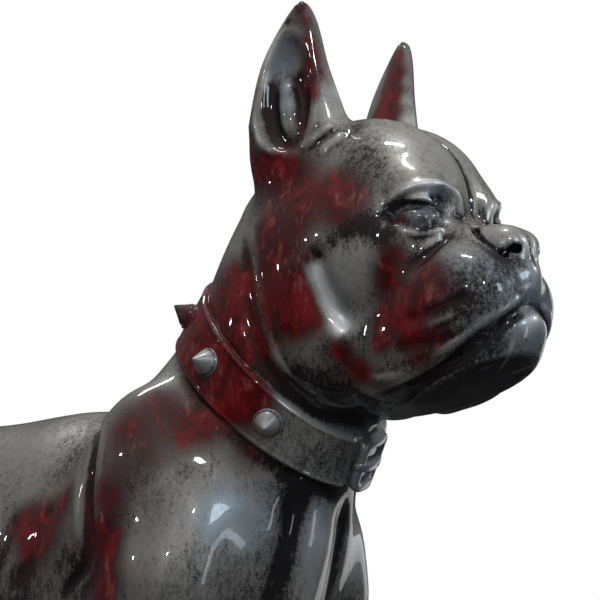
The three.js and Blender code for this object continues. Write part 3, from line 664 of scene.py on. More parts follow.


# %% [markdown]
# ## The finish
#
# The resin is painted black, then dry-brushed with silver and patches of deep red, and lacquered. Silver
# stays on whatever stands proud and the black stays in the hollows. So each point of the skin is
# measured: how strongly it is rounded, how deep it lies, and how near it is to the patches that the
# painter laid. The same marks also hold painted shade in hollows, creases and under the jaw and belly,
# painted light on faces turned upwards, and painted highlights and reflections on some edges and spots.
# A shader then breaks the edges up with noise, as a brush does.

# %% Shader arithmetic
class Value:
    """A shader socket that can be added, multiplied and subtracted: each operator makes a Math node."""

    def __init__(self, tree, socket=None):
        self.tree, self.socket = tree, socket

    def node(self, kind, values=None, output=0, **settings):
        """Any other node: its type, then its settings, then values or links for its sockets."""
        made = self.tree.nodes.new("ShaderNode" + kind)
        for setting, choice in settings.items():
            setattr(made, setting, choice)
        for key, value in (values or {}).items():
            if isinstance(value, Value):
                self.tree.links.new(value.socket, made.inputs[key])
            else:
                made.inputs[key].default_value = value
        return Value(self.tree, made.outputs[output])

    def _math(self, operation, a, b):
        return self.node("Math", {0: a, 1: b}, operation=operation)

    def __add__(self, other):
        return self._math("ADD", self, other)

    def __sub__(self, other):
        return self._math("SUBTRACT", self, other)

    def __rsub__(self, other):
        return self._math("SUBTRACT", other, self)

    def __mul__(self, other):
        return self._math("MULTIPLY", self, other)

    __radd__ = __add__
    __rmul__ = __mul__

    def step(self, low, high):
        """An S-curve from 0 at low to 1 at high."""
        return self.node("MapRange", {0: self, 1: low, 2: high}, interpolation_type="SMOOTHSTEP")

    def mix(self, dark, light):
        """The colour dark where self is 0 and light where it is 1."""
        return self.node("Mix", {0: self, 6: dark, 7: light}, output=2, data_type="RGBA")

    def noise(self, scale, stretch=(1, 1, 1), detail=3.0, roughness=0.55, distortion=0.0):
        """Noise on the piece's own coordinates, as many waves a metre as scale, about 0."""
        place = self.node("TexCoord", output="Object")
        wide = self.node("Mapping", {"Vector": place, "Scale": stretch})
        values = {"Vector": wide, "Scale": scale, "Detail": detail, "Roughness": roughness}
        return self.node("TexNoise", {**values, "Distortion": distortion}) - 0.5

    def mark(self, name):
        """A number that the mesh keeps for each point."""
        return self.node("Attribute", output="Fac", attribute_name=name, attribute_type="GEOMETRY")


BLACK = (0.012, 0.011, 0.012, 1)
RED = (0.045, 0.0012, 0.0022, 1)
BRIGHT_RED = (0.20, 0.005, 0.009, 1)
WARM_SILVER = (0.46, 0.45, 0.42, 1)
# Bluish silver: the eyeball's own blue-grey, and painted reflection of bluish light from the front
COOL_SILVER = (0.36, 0.40, 0.43, 1)
# Near-white: bare silver on the edges rubbed hardest, which also serves as painted highlight
BARE_AND_HIGHLIGHT_SILVER = (0.86, 0.89, 0.90, 1)


def rubbed_lacquer(name, wear=0.0, grain=1.0):
    """Black, red and silver mixed by the marks and by noise, under one clear coat."""
    material = bpy.data.materials.new(name)
    material.use_nodes = True
    tree = material.node_tree
    shader = tree.nodes["Principled BSDF"]
    v = Value(tree)
    # From blotches of about 60 mm to specks of about 1 mm
    blotches = v.noise(17, detail=2.0)
    smudges = v.noise(75, stretch=(1.2, 1.2, 0.7), detail=3.0, roughness=0.6, distortion=0.8)
    brush = v.noise(230, stretch=(1.3, 1.3, 0.5), detail=3.0, roughness=0.6)
    mottle = v.noise(520, detail=2.0, roughness=0.6)
    specks = v.noise(1100, detail=1.0)
    rub_and_shading, red, cool, pits = (v.mark(m) for m in ("rub_and_shading", "red", "cool", "pits"))
    rough_pad = pits * v.noise(300, detail=2.0, roughness=0.7)
    texture = smudges * 0.9 + brush * 1.1 * grain + mottle * 1.1 * grain + rough_pad * 1.3
    # Silver shows where the rub is high, so it carries the painted shade and painted light laid into that
    # mark
    silver = (rub_and_shading + wear + blotches * 0.9 + texture).step(-0.1, 1.1)
    redness = (red + blotches * 0.7 + smudges * 0.6 + brush * 0.5 + mottle * 0.4).step(0.02, 0.92)
    bright = (red + smudges * 2.4 + blotches * 1.4 + brush * 0.9).step(0.45, 1.5)
    # Bluish silver: painted reflection of bluish light from the front, and the eyeball's own blue-grey
    cool_and_reflection = (cool + smudges * 0.8).step(0.3, 0.8)
    # Bare silver and painted highlight: near-white where the rub runs highest
    bare = (rub_and_shading + smudges * 0.5 + brush * 0.4).step(0.95, 1.8)
    silver_tone = bare.mix(cool_and_reflection.mix(WARM_SILVER, COOL_SILVER), BARE_AND_HIGHLIGHT_SILVER)
    under = redness.mix(BLACK, bright.mix(RED, BRIGHT_RED))
    veil = (smudges * 1.4 + brush * 0.9 - blotches * 1.2).step(0.05, 0.6)
    rubbed = silver * (1 - redness * (1 - veil * 0.28))
    colour = rubbed.mix(under, silver_tone)
    height = brush * 0.3 + mottle * 0.4 + specks * 0.25 + rough_pad * 3.0
    bump = v.node("Bump", {"Height": height, "Strength": 0.16, "Distance": 0.001})
    tree.links.new(colour.socket, shader.inputs["Base Color"])
    tree.links.new((rubbed * 0.5).socket, shader.inputs["Metallic"])
    tree.links.new((0.46 + mottle * 0.12 - rubbed * 0.10).socket, shader.inputs["Roughness"])
    tree.links.new(bump.socket, shader.inputs["Normal"])
    shader.inputs["Specular IOR Level"].default_value = 0.15
    shader.inputs["Coat Weight"].default_value = 1.0
    shader.inputs["Coat Roughness"].default_value = 0.04
    shader.inputs["Coat IOR"].default_value = 1.5
    return material


dog_lacquer = rubbed_lacquer("dog_lacquer")
base_lacquer = rubbed_lacquer("base_lacquer", wear=0.1, grain=0.6)

# %% [markdown]
# The painter's patches are given as spots: a place on the dog's left, a reach in millimetres and a
# strength. Edges that were rubbed bare, and seams that stayed black, are drawn as lines, as the folds are.
# Some spots and lines also paint shade in creases and under the jaw and belly, highlights on edges and on
# the eyeball, and the reflection of bluish light. Both sides are painted alike.

# %% Painted patches
RED_SPOTS = [
    # behind and below the ear, down the side of the head
    (20, 70, 738, 21, 0.8), (46, 70, 728, 26, 1), (60, 74, 702, 29, 1), (30, 78, 690, 18, 0.9),
    (42, 78, 668, 26, 1), (64, 78, 650, 22, 1), (52, 78, 622, 26, 1), (70, 74, 622, 16, 1),
    # above the cheek
    (94, 70, 712, 20, 1), (114, 68, 704, 14, 0.9), (100, 74, 690, 17, 0.8),
    # a streak below the eye
    (136, 62, 657, 15, 1), (131, 62, 640, 16, 1), (126, 60, 614, 15, 1), (126, 60, 596, 13, 1),
    # lips
    (168, 54, 643, 14, 0.9), (160, 57, 626, 18, 1), (148, 60, 608, 17, 1), (178, 54, 629, 12, 0.7),
    (92, 62, 594, 12, 0.8), (102, 56, 578, 14, 0.8), (120, 52, 566, 16, 0.6), (158, 52, 577, 16, 0.6),
    (172, 52, 596, 13, 0.5), (150, 57, 590, 14, 0.5),
    # neck under the ear
    (-2, 76, 652, 26, 1), (2, 80, 622, 26, 1), (14, 78, 602, 18, 1), (-24, 66, 660, 26, 0.6),
    # shoulder
    (-57, 96, 568, 29, 0.72), (-26, 86, 552, 26, 0.95), (-74, 108, 546, 27, 0.65),
    (-60, 108, 522, 27, 0.55), (-86, 118, 500, 25, 0.75), (-88, 122, 460, 24, 0.95),
    (-86, 122, 428, 26, 1.2), (5, 66, 524, 16, 0.5), (-92, 118, 474, 16, 0.5),
    # ribs
    (-166, 108, 476, 30, 0.9), (-186, 108, 492, 22, 0.8), (-144, 104, 500, 19, 0.9),
    (-137, 92, 535, 20, 0.7),
    # the rest of the body
    (-300, 104, 480, 52, 0.9), (-330, 90, 440, 44, 0.8), (-430, 84, 500, 47, 0.8), (-520, 112, 430, 52, 1),
    (-500, 110, 380, 39, 0.9), (-140, 116, 330, 39, 0.9), (-120, 104, 200, 29, 0.8),
    (-570, 104, 230, 34, 0.8), (-250, 108, 380, 39, 0.8), (-600, 20, 545, 34, 0.8),
    (-230, 50, 590, 34, 0.5), (-70, 80, 40, 34, 0.6),
    # outer side of the ear
    (57, 68, 862, 7, 0.7), (59, 67, 850, 10, 0.8), (60, 67, 836, 12, 0.85), (61, 67, 820, 13, 0.9),
    (64, 66, 805, 11, 0.9), (66, 65, 792, 9, 0.7),
    # rear root of the ear
    (13, 70, 785, 7, 0.8), (11, 68, 766, 9, 0.9), (13, 68, 746, 12, 0.9),
    # inner side of the ear
    (56, 47, 838, 11, 1), (55, 45, 820, 13, 1), (56, 43, 800, 14, 1), (57, 41, 780, 15, 1),
    (53, 50, 856, 10, 0.9), (50, 48, 846, 12, 0.9), (46, 46, 828, 14, 1), (44, 42, 804, 17, 1),
    (42, 40, 780, 17, 1),
    # corner of the eye
    (141, 55, 684, 8, 0.9),
]
# Darker: dark paint and painted shade round the eye, and painted shade under the jaw, in the ear's bowl,
# on the breast and under the belly
DARK_PAINT_AND_SHADE_SPOTS = [
    (122, 68, 682, 13, 0.5), (109, 74, 680, 12, 0.4), (92, 76, 668, 10, 0.3), (84, 62, 594, 12, 0.5),
    (74, 50, 568, 20, 0.7), (52, 62, 576, 14, 0.6), (170, 26, 570, 26, 0.5), (206, 28, 580, 14, 0.2),
    (140, 16, 560, 26, 0.6), (184, 4, 566, 26, 0.4), (153, 46, 684, 9, 0.55), (200, 24, 574, 18, 0.45),
    (205, 4, 576, 16, 0.5), (186, 26, 566, 18, 0.4), (196, 36, 628, 24, 0.5), (206, 24, 640, 14, 0.3),
    (29, 71, 798, 8, 0.9), (29, 72, 783, 8, 0.9), (32, 72, 770, 7, 0.7), (54, 59, 806, 8, 1),
    (55, 59, 794, 9, 1), (54, 60, 780, 8, 0.9), (42, 67, 760, 9, 0.4), (54, 69, 864, 9, 0.9),
    (47, 70, 850, 7, 0.8), (56, 52, 864, 10, 0.7), (64, 66, 762, 12, 0.3), (118, 62, 728, 16, 0.6),
    (108, 58, 744, 14, 0.5), (98, 66, 728, 12, 0.35), (176, 52, 600, 15, 0.5), (190, 46, 618, 14, 0.5),
    (152, 57, 592, 16, 0.4), (137, 63, 676, 6, 0.7), (131, 66, 671, 7, 0.6), (15, 38, 494, 20, 0.5),
    (30, 0, 500, 20, 0.3), (-118, 115, 453, 24, 0.5), (-186, 111, 440, 30, 0.4), (-300, 0, 300, 90, 0.5),
    (-60, 0, 320, 70, 0.5),
]
# Painted shade in creases, over the black the paint leaves there: above the eye, the mouth, the nostril's
# slit, folds and the shoulder blade's edge
BLACK_AND_SHADE_LINES = [
    crease(
        [(122, 70, 679), (132, 63, 687), (139, 55, 691), (150, 49, 693), (159, 38, 692), (164, 29, 686)],
        2.6, 1.0, 0.1, 0.1,
    ),
    crease([(86, 76, 664), (100, 75, 674), (114, 71, 679), (128, 65, 684)], 8, 0.4),
    crease(
        [(222, 0, 618), (216, 18, 608), (200, 34, 589), (170, 39, 575), (130, 45, 560), (108, 46, 556)],
        3.4, 0.9, 0.01,
    ),
    crease(
        [(176, 12, 678), (181, 16, 673), (188, 19, 667), (195, 20, 660), (202, 18, 655), (208, 14, 655)],
        3, 0.7, 0.15, 0.1,
    ),
    crease([(151, 57, 605), (163, 56, 609), (175, 54, 612), (197, 46, 620)], 4.6, 0.35),
    crease([(144, 57, 588), (158, 54, 590), (171, 50, 593), (201, 39, 602)], 4.6, 0.35),
    crease(
        [(-150, 60, 576), (-119, 100, 552), (-109, 113, 523), (-109, 115, 494), (-110, 116, 462),
         (-118, 115, 444)], 2.4, 0.8
    ),
]
# A thin dark line round the eye
EYE_OUTLINE = crease(
    [(143, 57, 673), (136, 57, 679), (133, 57, 686), (139, 56, 692), (147, 52, 696), (157, 44, 695),
     (163, 35, 688), (161, 38, 680), (156, 44, 676), (149, 51, 673)], 1.7, 1.2, 0.05, 0.05
)
# Rubbed bare, and painted highlights along them: the cheek's two edges, the brow's rim, lips, chin, the
# shoulder blade's edge and the ear's rim
RUBBED_AND_HIGHLIGHT_LINES = [
    crease([(76, 75, 664), (79, 73, 648), (84, 67, 630), (90, 63, 615), (95, 61, 602)], 7, 1.3, 0.15, 0.15),
    crease(
        [(137, 58, 702), (148, 53, 709), (160, 44, 712), (169, 31, 712), (170, 20, 706), (169, 17, 697),
         (167, 17, 690)], 2, 0.7
    ),
    crease([(162, 56, 601), (170, 55, 604), (180, 52, 607), (188, 49, 611)], 1.8, 0.6),
    crease([(104, 58, 566), (130, 52, 572), (152, 49, 578), (176, 46, 589), (196, 41, 600)], 1.8, 0.5),
    crease(
        [(-113, 103, 553), (-104, 112, 523), (-103, 115, 494), (-104, 116, 462), (-107, 118, 446)], 2, 0.6
    ),
    crease([(215, 19, 597), (209, 18, 584), (199, 12, 577), (187, 4, 571)], 1.8, 1.1),
    crease([(-8, 57, 714), (13, 74, 679), (21, 78, 648), (26, 76, 620)], 3.6, 0.45),
    crease(
        [(34, 71, 820), (24, 72, 802), (20, 74, 782), (23, 76, 764), (32, 74, 753), (46, 69, 750)],
        3, 0.7, 0.1, 0.1,
    ),
]
# Rubbed brighter, with a painted highlight on the eyeball: the eye's inner corner, cheek, lips, nose,
# forehead, ear and breast
RUBBED_AND_HIGHLIGHT_SPOTS = [
    (164, 28, 684, 7, 0.9), (160, 34, 677, 5, 0.6), (158, 42, 691, 4, 0.8), (0, 66, 464, 14, 0.7),
    (21, 10, 470, 14, 0.5), (84, 74, 650, 10, 1), (88, 68, 632, 9, 1), (95, 62, 612, 9, 1),
    (216, 8, 636, 14, 0.6), (218, 6, 605, 11, 1), (180, 14, 676, 10, 0.4), (200, 12, 676, 10, 0.5),
    (216, 4, 662, 8, 0.8), (130, 44, 738, 24, 0.5), (-6, 78, 474, 26, 0.8), (20, 0, 470, 26, 0.6),
    (160, 44, 706, 9, 0.8), (158, 38, 668, 9, 0.6), (38, 68, 832, 17, 1), (38, 64, 818, 14, 1),
    (41, 67, 804, 7, 0.7), (44, 69, 787, 7, 0.8), (42, 68, 772, 6, 0.7), (78, 57, 794, 11, 0.9),
    (80, 55, 776, 12, 0.9), (100, 70, 656, 20, 0.7), (104, 66, 636, 17, 0.7), (110, 64, 618, 10, 0.5),
    (-70, 40, 600, 30, 0.4), (56, 8, 556, 20, 0.5), (68, 46, 832, 5, 0.8), (70, 44, 814, 6, 0.8),
    (72, 42, 794, 7, 0.8),
]
# Bluish silver, a painted reflection of the bluish light from the front: ear, front of the lips, brow,
# cheek, throat and breast
BLUISH_REFLECTION_SPOTS = [
    (38, 68, 828, 20, 1), (43, 68, 788, 18, 1), (56, 8, 556, 26, 1), (211, 20, 633, 34, 1),
    (222, 2, 604, 24, 1), (186, 45, 649, 16, 0.8), (160, 38, 702, 16, 1), (86, 72, 646, 12, 0.6),
    (88, 66, 628, 12, 0.6), (96, 60, 608, 12, 0.5), (192, 36, 590, 18, 0.8), (-7, 78, 478, 34, 1),
    (20, 0, 480, 50, 0.8), (40, 0, 560, 30, 0.8),
]


def painted(points, spots):
    """Bells of the given strength about each spot, laid over each other.

    What each leaves free is 1 - strength * e^-(gap / reach)^2, and the product of these is taken from 1.
    """
    x, y, z = np.float32(points).T
    left = np.ones(len(points), np.float32)
    for a, b, c, reach, strength in spots:
        gap = np.square(x - a) + np.square(np.abs(y) - b) + np.square(z - c)
        left *= 1 - np.minimum(strength, 1) * np.exp(-gap / reach**2)
    return 1 - left


FINE_REACH, BROAD_REACH = 2.5, 9.0
# What a point's rub gains from fine and broad roundness, from open space and from facing upwards. Little
# open space gives painted shade, and facing upwards gives painted light from above
FINE_GAIN, BROAD_GAIN, OPEN_SPACE_SHADE_GAIN, TOP_LIGHT_GAIN = 1.6, 2.2, 1.1, 0.10
MIDDLE_RUB, EYE_RUB = 0.47, 0.42


def roundness(form, points):
    """Fine and broad roundness, 6 (mean - value) / reach^2, the open space ahead, and the way out."""
    value, gradient = slope(form, points, FINE_REACH)
    out = gradient / np.linalg.norm(gradient, axis=1, keepdims=True)
    here = form(points)
    fine = 6 * (value - here) / FINE_REACH**2
    broad = 6 * (slope(form, points, BROAD_REACH)[0] - here) / BROAD_REACH**2
    space = sum(np.clip(form(points + out * reach) / reach, 0, 1) for reach in (8.0, 20.0, 40.0)) / 3
    return fine, broad, space, out


def marks_of(form, points):
    """The marks that the lacquer reads, worked out for every point of a piece.

    Rub, which holds painted shade and light as well as wear, starts from a middle value. It rises with
    roundness, with open space (painted shade where there is little) and with an upward slope (painted
    light), then spots and lines are laid over it, some of them painted shade and highlights. It falls
    beside the strap as painted shadow, and the eyeball has its own.
    """
    fine, broad, space, out = roundness(form, points)
    rub_and_shading = MIDDLE_RUB + FINE_GAIN * np.clip(fine, -0.16, 0.16) + BROAD_GAIN * np.clip(broad, -0.08, 0.07)
    # Painted shade, with the black that stays in hollows: darker where the skin is hemmed in by other forms
    rub_and_shading = rub_and_shading + OPEN_SPACE_SHADE_GAIN * (space - 0.92)
    # Painted light from above: lighter where the skin faces upwards
    change = TOP_LIGHT_GAIN * np.clip(out[:, 2], -1, 1) - painted(points, DARK_PAINT_AND_SHADE_SPOTS)
    rub_and_shading += change + 0.7 * painted(points, RUBBED_AND_HIGHLIGHT_SPOTS)
    half = np.array(points, np.float32)
    half[:, 1] = np.abs(half[:, 1])
    lines = [*face_lines.values(), *neck_lines.values(), *body_lines.values()]
    # Painted shade in sunken folds, and painted light on raised lines, by a tenth of their depth
    rub_and_shading -= 0.10 * sum(line(half) for line in lines) + sum(line(half) for line in BLACK_AND_SHADE_LINES)
    rub_and_shading += sum(line(half) for line in RUBBED_AND_HIGHLIGHT_LINES)
    tube, _, _, fall = collar_tube(half)
    # Painted shadow: black along both edges of the strap, where it stands proud of the neck
    rub_and_shading -= 0.9 * hump(np.abs(fall) - 26.5, 4.5) * (tube < 16)
    ball = hump(eyeball(half), 1.5)
    rub_and_shading = rub_and_shading * (1 - ball) + EYE_RUB * ball - EYE_OUTLINE(half)
    haze = painted(points, [(a, b, c, 1.8 * reach, strength) for a, b, c, reach, strength in RED_SPOTS])
    red = np.maximum(painted(points, RED_SPOTS), 0.34 * haze)
    # The front of the muzzle is pitted, and so is a patch of the throat
    pad = hump(points[:, 0] - 196, 24) * hump(points[:, 2] - 630, 24)
    return {
        "rub_and_shading": rub_and_shading,
        "red": red * (1 - 0.85 * painted(points, RUBBED_AND_HIGHLIGHT_SPOTS) - RUBBED_AND_HIGHLIGHT_LINES[0](half)),
        "cool": np.maximum(painted(points, BLUISH_REFLECTION_SPOTS), ball),
        "pits": pad + painted(points, [(58, 8, 556, 24, 0.9)]),
    }


def plain_marks(points, rub_and_shading, red=0.0, cool=1.0):
    """The same marks from single numbers, or from arrays of one number for each point, with no pits."""
    n = len(points)
    return {"rub_and_shading": np.full(n, rub_and_shading), "red": np.full(n, red), "cool": np.full(n, cool), "pits": np.zeros(n)}


# %% [markdown]
# The head and the body are two pieces that part under the collar, so that the face can have the finer
# mesh. Each is cut off by the collar's middle plane, a little apart from the other.

# %% Head
# Millimetres between the points of the grid
HEAD_STEP, BODY_STEP = ((1.73, 3.65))


def above_collar(p):
    """The dog, cut off by the plane through the collar's middle."""
    return np.maximum(dog(p), collar_tube(np.float32(p))[3] + 1.5)


def below_collar(p):
    """The dog below that plane."""
    return np.maximum(dog(p), 1.5 - collar_tube(np.float32(p))[3])


head_points, head_faces = skin(above_collar, (-140, -100, 500), (236, 100, 876), HEAD_STEP)
piece("dog_head", head_points, [head_faces], "boxer_dog", dog_lacquer, marks_of(dog, head_points))

# %% Body
body_points, body_faces = skin(below_collar, (-664, -140, -8), (60, 140, 660), BODY_STEP)
piece("dog_body", body_points, [body_faces], "boxer_dog", dog_lacquer, marks_of(dog, body_points))

# %% [markdown]
# ## Collar
#
# The strap goes once round the neck, from its tip at the throat to the buckle. It is one section carried
# along the collar's line, with a raised rim at each edge and corners softened by a superellipse.

# %% Strap
LAP_RADIUS = 88.5
STRAP_RED = [(-17, 89, 588, 36, 1), (-70, 60, 640, 60, 1), (12, 82, 568, 27, 1)]
# Painted reflection of the bluish light from the front, near the throat
STRAP_BLUISH_REFLECTION = [(44, 20, 520, 60, 0.4)]


def turn(millimetres):
    """Angle of a length round the collar: the length over the mean radius."""
    return millimetres / LAP_RADIUS


def power(t, exponent):
    """The sign of t times its size to a power, which squares up a circle where the power is small."""
    return np.sign(t) * np.abs(t) ** exponent


def loft(rows, closed=False):
    """Faces between rows of a closed section, each row to the next.

    A closed loft joins its last row to its first. An open one ends in fans to the rows' middle points.
    """
    n, m = rows.shape[:2]
    i, j = np.meshgrid(np.arange(n if closed else n - 1), np.arange(m), indexing="ij")
    at = lambda a, b: (a % n) * m + b % m
    quads = np.stack([at(i, j), at(i, j + 1), at(i + 1, j + 1), at(i + 1, j)], -1).reshape(-1, 4)
    points = rows.reshape(-1, 3)
    if closed:
        return points, [quads]
    k = np.arange(m)
    start = np.stack([np.full(m, n * m), (k + 1) % m, k], -1)
    end = np.stack([np.full(m, n * m + 1), (n - 1) * m + k, (n - 1) * m + (k + 1) % m], -1)
    return np.vstack([points, rows[0].mean(0), rows[-1].mean(0)]), [quads, np.concatenate([start, end])]


def rubbed_edges(across, half):
    """How far a strap is rubbed: bare at both edges, most of all at the upper one."""
    return 0.48 + 0.55 * rise(half - 4, half, np.abs(across)) + 0.4 * rise(half - 4, half - 1, -across)


def strap(name, start, end, half, low, high, steps, rim=0.7):
    """A superellipse of a half-width, between low and high, carried from the start to the end angle."""
    angle = np.linspace(start, end, steps)[:, None]
    u = np.linspace(0, 2 * np.pi, 72, endpoint=False)[None, :]
    across = half * power(np.cos(u), 0.22) * np.ones_like(angle)
    proud = (high + low) / 2 + (high - low) / 2 * power(np.sin(u), 0.32) * np.ones_like(angle)
    proud = proud + rim * hump(np.abs(across) - half + 2.6, 1.3) * (np.sin(u) > 0)
    rows = on_collar(angle, across, proud)
    points, faces = loft(rows)
    flat = np.append(across.ravel(), [0, 0])
    rub_and_shading = rubbed_edges(flat, half) - 0.25 * hump(points[:, 0] + 90, 60)
    marks = plain_marks(points, rub_and_shading, 1.3 * painted(points, STRAP_RED), painted(points, STRAP_BLUISH_REFLECTION))
    return piece(name, points, faces, "boxer_dog", dog_lacquer, marks)


HALF = COLLAR_WIDTH / 2
strap("collar_strap", np.radians(2), np.radians(-322), HALF, -9, 0, 190)
strap("under_strap", np.radians(44), np.radians(-3), HALF - 0.6, -12, -3.2, 40, rim=0)

# %% [markdown]
# Six cone studs sit on the strap. Each is a profile turned round its own axis: a thin washer, a step, and
# a cone with a sharp tip.

# %% Studs
STUD_PROFILE = [
    (0, -4), (10.9, -4), (11.0, 0.7), (10.6, 1.2), (10.0, 1.4), (9.6, 1.3), (9.6, 2.0), (9.3, 3.4),
    (8.9, 4.2), (6.2, 7.4), (3.6, 10.9), (1.5, 13.7), (0.8, 14.6), (0, 15),
]
STUD_RED = [(-66, 60, 641, 40, 0.9)]


def turned(profile, count=40):
    """A profile of radius r and height h turned round: x = r cos u, y = r sin u, with a fan to each pole."""
    r, h = np.array(profile, float).T
    u = np.linspace(0, 2 * np.pi, count, endpoint=False)
    x, y = np.outer(r[1:-1], np.cos(u)), np.outer(r[1:-1], np.sin(u))
    points, faces = loft(np.stack([x, y, np.outer(h[1:-1], np.ones(count))], -1))
    points[-2:] = [[0, 0, h[0]], [0, 0, h[-1]]]
    return points, faces


def stud(name, angle):
    """The turned cone with its axis along the way out of the strap, and a painted shadow as a dark line round
    its washer.
    """
    foot, tip = on_collar(angle, 0, 0), on_collar(angle, 0, 1)
    out = tip - foot
    side = np.cross(out, [0, 0, 1.0])
    side /= np.linalg.norm(side)
    points, faces = turned(STUD_PROFILE)
    r, h = np.hypot(points[:, 0], points[:, 1]), points[:, 2]
    points = foot + points @ np.array([side, np.cross(out, side), out])
    # Painted shadow: a dark line where the washer meets the strap
    rub_and_shading = 0.95 + 0.2 * rise(6, 11, h) - 0.9 * hump(r - 9.9, 0.7) * (h < 2)
    marks = plain_marks(points, rub_and_shading, painted(points, STUD_RED), 0.5)
    return piece(name, points, faces, "boxer_dog", dog_lacquer, marks)


FIRST_STUD, STUD_SPACING = np.radians(-50), turn(67)
for number in range(6):
    stud(f"stud_{number + 1}", FIRST_STUD - number * STUD_SPACING)

# %% [markdown]
# The buckle is a bent frame with rounded bars, a prong across its middle and two domed panels where the
# strap shows through. The frame is a ring with a rounded section; a cushion shape, a superellipsoid bent
# to the collar, makes the prong and each panel.

# %% Buckle
def cushion(name, angle, across, half_long, half_across, low, high, rub_and_shading, square=0.35):
    """A superellipsoid: cos and sin of two angles to a small power, bent to the collar."""
    u = np.linspace(0, 2 * np.pi, 56, endpoint=False)[None, :]
    v = np.linspace(-np.pi / 2, np.pi / 2, 25)[1:-1, None]
    a = half_long * power(np.cos(v), square) * power(np.cos(u), square)
    b = half_across * power(np.cos(v), square) * power(np.sin(u), square)
    c = (high + low) / 2 + (high - low) / 2 * power(np.sin(v), 0.7) * np.ones_like(u)
    rows = on_collar(angle + turn(a), across + b, c)
    points, faces = loft(rows)
    points[-2:] = on_collar(np.array([angle] * 2), np.array([across] * 2), np.array([low, high]))
    return piece(name, points, faces, "boxer_dog", dog_lacquer, plain_marks(points, rub_and_shading))


def buckle_frame(name, angle, half_long, half_across, bar, low, high):
    """A superellipse ring with a rounded section, bent to the collar."""
    u = np.linspace(0, 2 * np.pi, 120, endpoint=False)[:, None]
    w = np.linspace(0, 2 * np.pi, 28, endpoint=False)[None, :]
    inset = bar / 2 * (1 - power(np.cos(w), 0.6))
    a = (half_long - inset) * power(np.cos(u), 0.36)
    b = (half_across - inset) * power(np.sin(u), 0.36)
    c = (high + low) / 2 + (high - low) / 2 * power(np.sin(w), 0.6) * np.ones_like(u)
    points, faces = loft(on_collar(angle + turn(a), b, c), closed=True)
    return piece(name, points, faces, "boxer_dog", dog_lacquer, plain_marks(points, 0.85))


BUCKLE_ANGLE = np.radians(24)
buckle_frame("buckle_frame", BUCKLE_ANGLE, 23.5, HALF + 2.0, 8.0, -6, 3.8)
cushion("buckle_prong", BUCKLE_ANGLE - turn(2), 0, 25.5, 4.2, -2, 5.4, 0.85, square=0.5)
cushion("upper_panel", BUCKLE_ANGLE, -10.2, 15.5, 5.4, -7, -0.2, 0.62)
cushion("lower_panel", BUCKLE_ANGLE, 10.2, 15.5, 5.4, -7, -1.6, 0.3)

# %% [markdown]
# ## Base
#
# The dog stands on a low slab with round corners. The photograph ends above it, so its look is supposed.
# A profile of insets and heights is carried round the slab's outline: a small foot, a plain side and a
# rounded upper edge with a bead.

# %% Low base
BASE_HALF_LENGTH, BASE_HALF_WIDTH, BASE_CORNER = 360, 150, 46
BASE_RED = [(-100, 60, 0, 90, 0.4), (-520, 90, 0, 110, 0.4)]
BASE_PROFILE = [
    (3.5, 0), (1.2, 0.5), (0, 1.8), (0, 7.5), (0.6, 8.6), (2.2, 9.2), (3.0, 10.4), (3.0, 18.6), (2.2, 19.8),
    (0.8, 20.6), (0, 22.0), (0, 25.2), (0.5, 27.0), (1.7, 28.6), (3.4, 29.6), (5.4, 30), (12, 30), (40, 30),
]


def base_outline(inset, height, count=26):
    """A rounded rectangle at a height: four quarter circles of the corner's radius less the inset."""
    corner = np.linspace(0, np.pi / 2, count)
    angle = np.concatenate([corner + i * np.pi / 2 for i in range(4)])
    middle_x = np.repeat([1, -1, -1, 1], count) * (BASE_HALF_LENGTH - BASE_CORNER)
    middle_y = np.repeat([1, 1, -1, -1], count) * (BASE_HALF_WIDTH - BASE_CORNER)
    x = middle_x + (BASE_CORNER - inset) * np.cos(angle)
    y = middle_y + (BASE_CORNER - inset) * np.sin(angle)
    return np.stack([x, y, np.full(len(x), height)], -1)


rows = np.array([base_outline(inset, height) for inset, height in BASE_PROFILE])
rows = rows + [STANCE_MIDDLE, 0, -BASE_THICKNESS]
base_points, base_faces = loft(rows)
height = base_points[:, 2] + BASE_THICKNESS
rim = hump(height - 27.5, 3) + hump(height - 4, 4) * 0.5
base_marks = plain_marks(base_points, 0.30 + 0.35 * rim, painted(base_points, BASE_RED), 0.0)
piece("base_slab", base_points, base_faces, "low_base", base_lacquer, base_marks)

# %% [markdown]
# ## Light
#
# A gloss surface shows its lights. A wide soft panel overhead gives the broad sheen, small bright panels
# make the crisp highlights of a shop ceiling, and a bluish one from the front lights the breast. The
# background is plain white to the camera and dim to everything else, so the lacquer keeps its blacks.

# %% Lights, background and floor
NECK, LAMP_AWAY = np.array([60.0, 0, 600]), 2000


def lamp(name, towards, width, height, radiance, colour=(1, 1, 1), mirrored=True):
    """A rectangular light of a given radiance, two metres from the neck in a direction, facing it."""
    light = bpy.data.lights.new(name, "AREA")
    light.shape = "RECTANGLE"
    light.size, light.size_y = width, height
    light.energy = radiance * np.pi * width * height
    light.color = colour
    towards = np.array(towards, float) / np.linalg.norm(towards)
    thing = looking(bpy.data.objects.new(name, light), NECK + towards * LAMP_AWAY, NECK)
    thing.visible_glossy = mirrored
    return thing


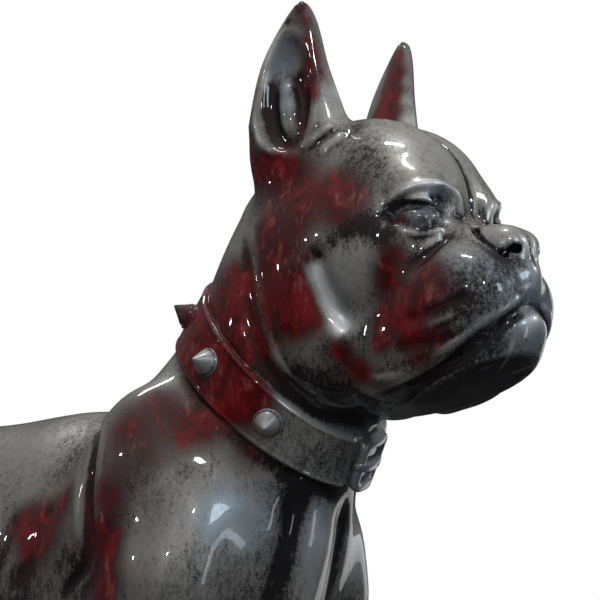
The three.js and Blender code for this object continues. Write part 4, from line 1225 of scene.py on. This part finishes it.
lamp("soft_overhead", (0.1, -0.35, 0.9), 2.4, 1.8, 0.9, mirrored=False)
lamp("fill", (0.42, -0.88, 0.2), 2.0, 1.6, 0.62, mirrored=False)
lamp("ceiling", (0.05, -0.18, 0.98), 0.4, 0.12, 30)
lamp("ceiling_front", (0.68, -0.58, 0.45), 0.07, 0.07, 180)
lamp("ceiling_side", (0.3, -0.9, 0.3), 0.06, 0.06, 180)
lamp("ceiling_rear", (-0.6, -0.74, 0.29), 0.06, 0.06, 90)
lamp("window", (0.93, -0.10, 0.35), 0.35, 0.5, 8, (0.72, 0.86, 1))
lamp("low_front", (0.97, 0.12, -0.12), 0.24, 0.7, 3, (0.9, 0.95, 1))
lamp("ceiling_far", (0.62, 0.58, 0.52), 0.3, 0.12, 30)
lamp("side", (-0.12, 0.99, 0.07), 0.7, 1.2, 0.8)
lamp("rear_top", (-0.6, 0.05, 0.8), 0.4, 0.12, 25)

world = bpy.data.worlds.new("studio")
scene.world = world
world.use_nodes = True
sky = Value(world.node_tree)
seen = sky.node("LightPath", output="Is Camera Ray")
white = sky.node("Background", {"Color": (1, 1, 1, 1), "Strength": 1.0})
dim = sky.node("Background", {"Color": (0.30, 0.31, 0.33, 1), "Strength": 0.2})
glow = sky.node("Background", {"Color": (1, 0.98, 0.95, 1), "Strength": 0.32})
upwards = sky.node("SeparateXYZ", {0: sky.node("TexCoord", output="Generated")}, output=2).step(0.2, 1.0)
around = sky.node("MixShader", {0: upwards, 1: dim, 2: glow})
shown = sky.node("MixShader", {0: seen, 1: around, 2: white})
world.node_tree.links.new(shown.socket, world.node_tree.nodes["World Output"].inputs["Surface"])

floor_mesh = bpy.data.meshes.new("floor")
floor_corners = [(-6, -6, -0.001), (6, -6, -0.001), (6, 6, -0.001), (-6, 6, -0.001)]
floor_mesh.from_pydata(floor_corners, [], [(0, 1, 2, 3)])
floor = bpy.data.objects.new("floor", floor_mesh)
scene.collection.objects.link(floor)
pale = bpy.data.materials.new("pale_floor")
pale.use_nodes = True
paint = Value(pale.node_tree)
grain = paint.noise(3, detail=2.0).step(-0.3, 0.3)
tone = grain.mix((0.72, 0.72, 0.71, 1), (0.78, 0.78, 0.77, 1))
shown_floor = paint.node("BsdfDiffuse", {"Color": tone})
dark_floor = paint.node("BsdfDiffuse", {"Color": (0.05, 0.05, 0.055, 1)})
seen = paint.node("LightPath", output="Is Camera Ray")
both = paint.node("MixShader", {0: seen, 1: dark_floor, 2: shown_floor})
pale.node_tree.links.new(both.socket, pale.node_tree.nodes["Material Output"].inputs["Surface"])
floor_mesh.materials.append(pale)
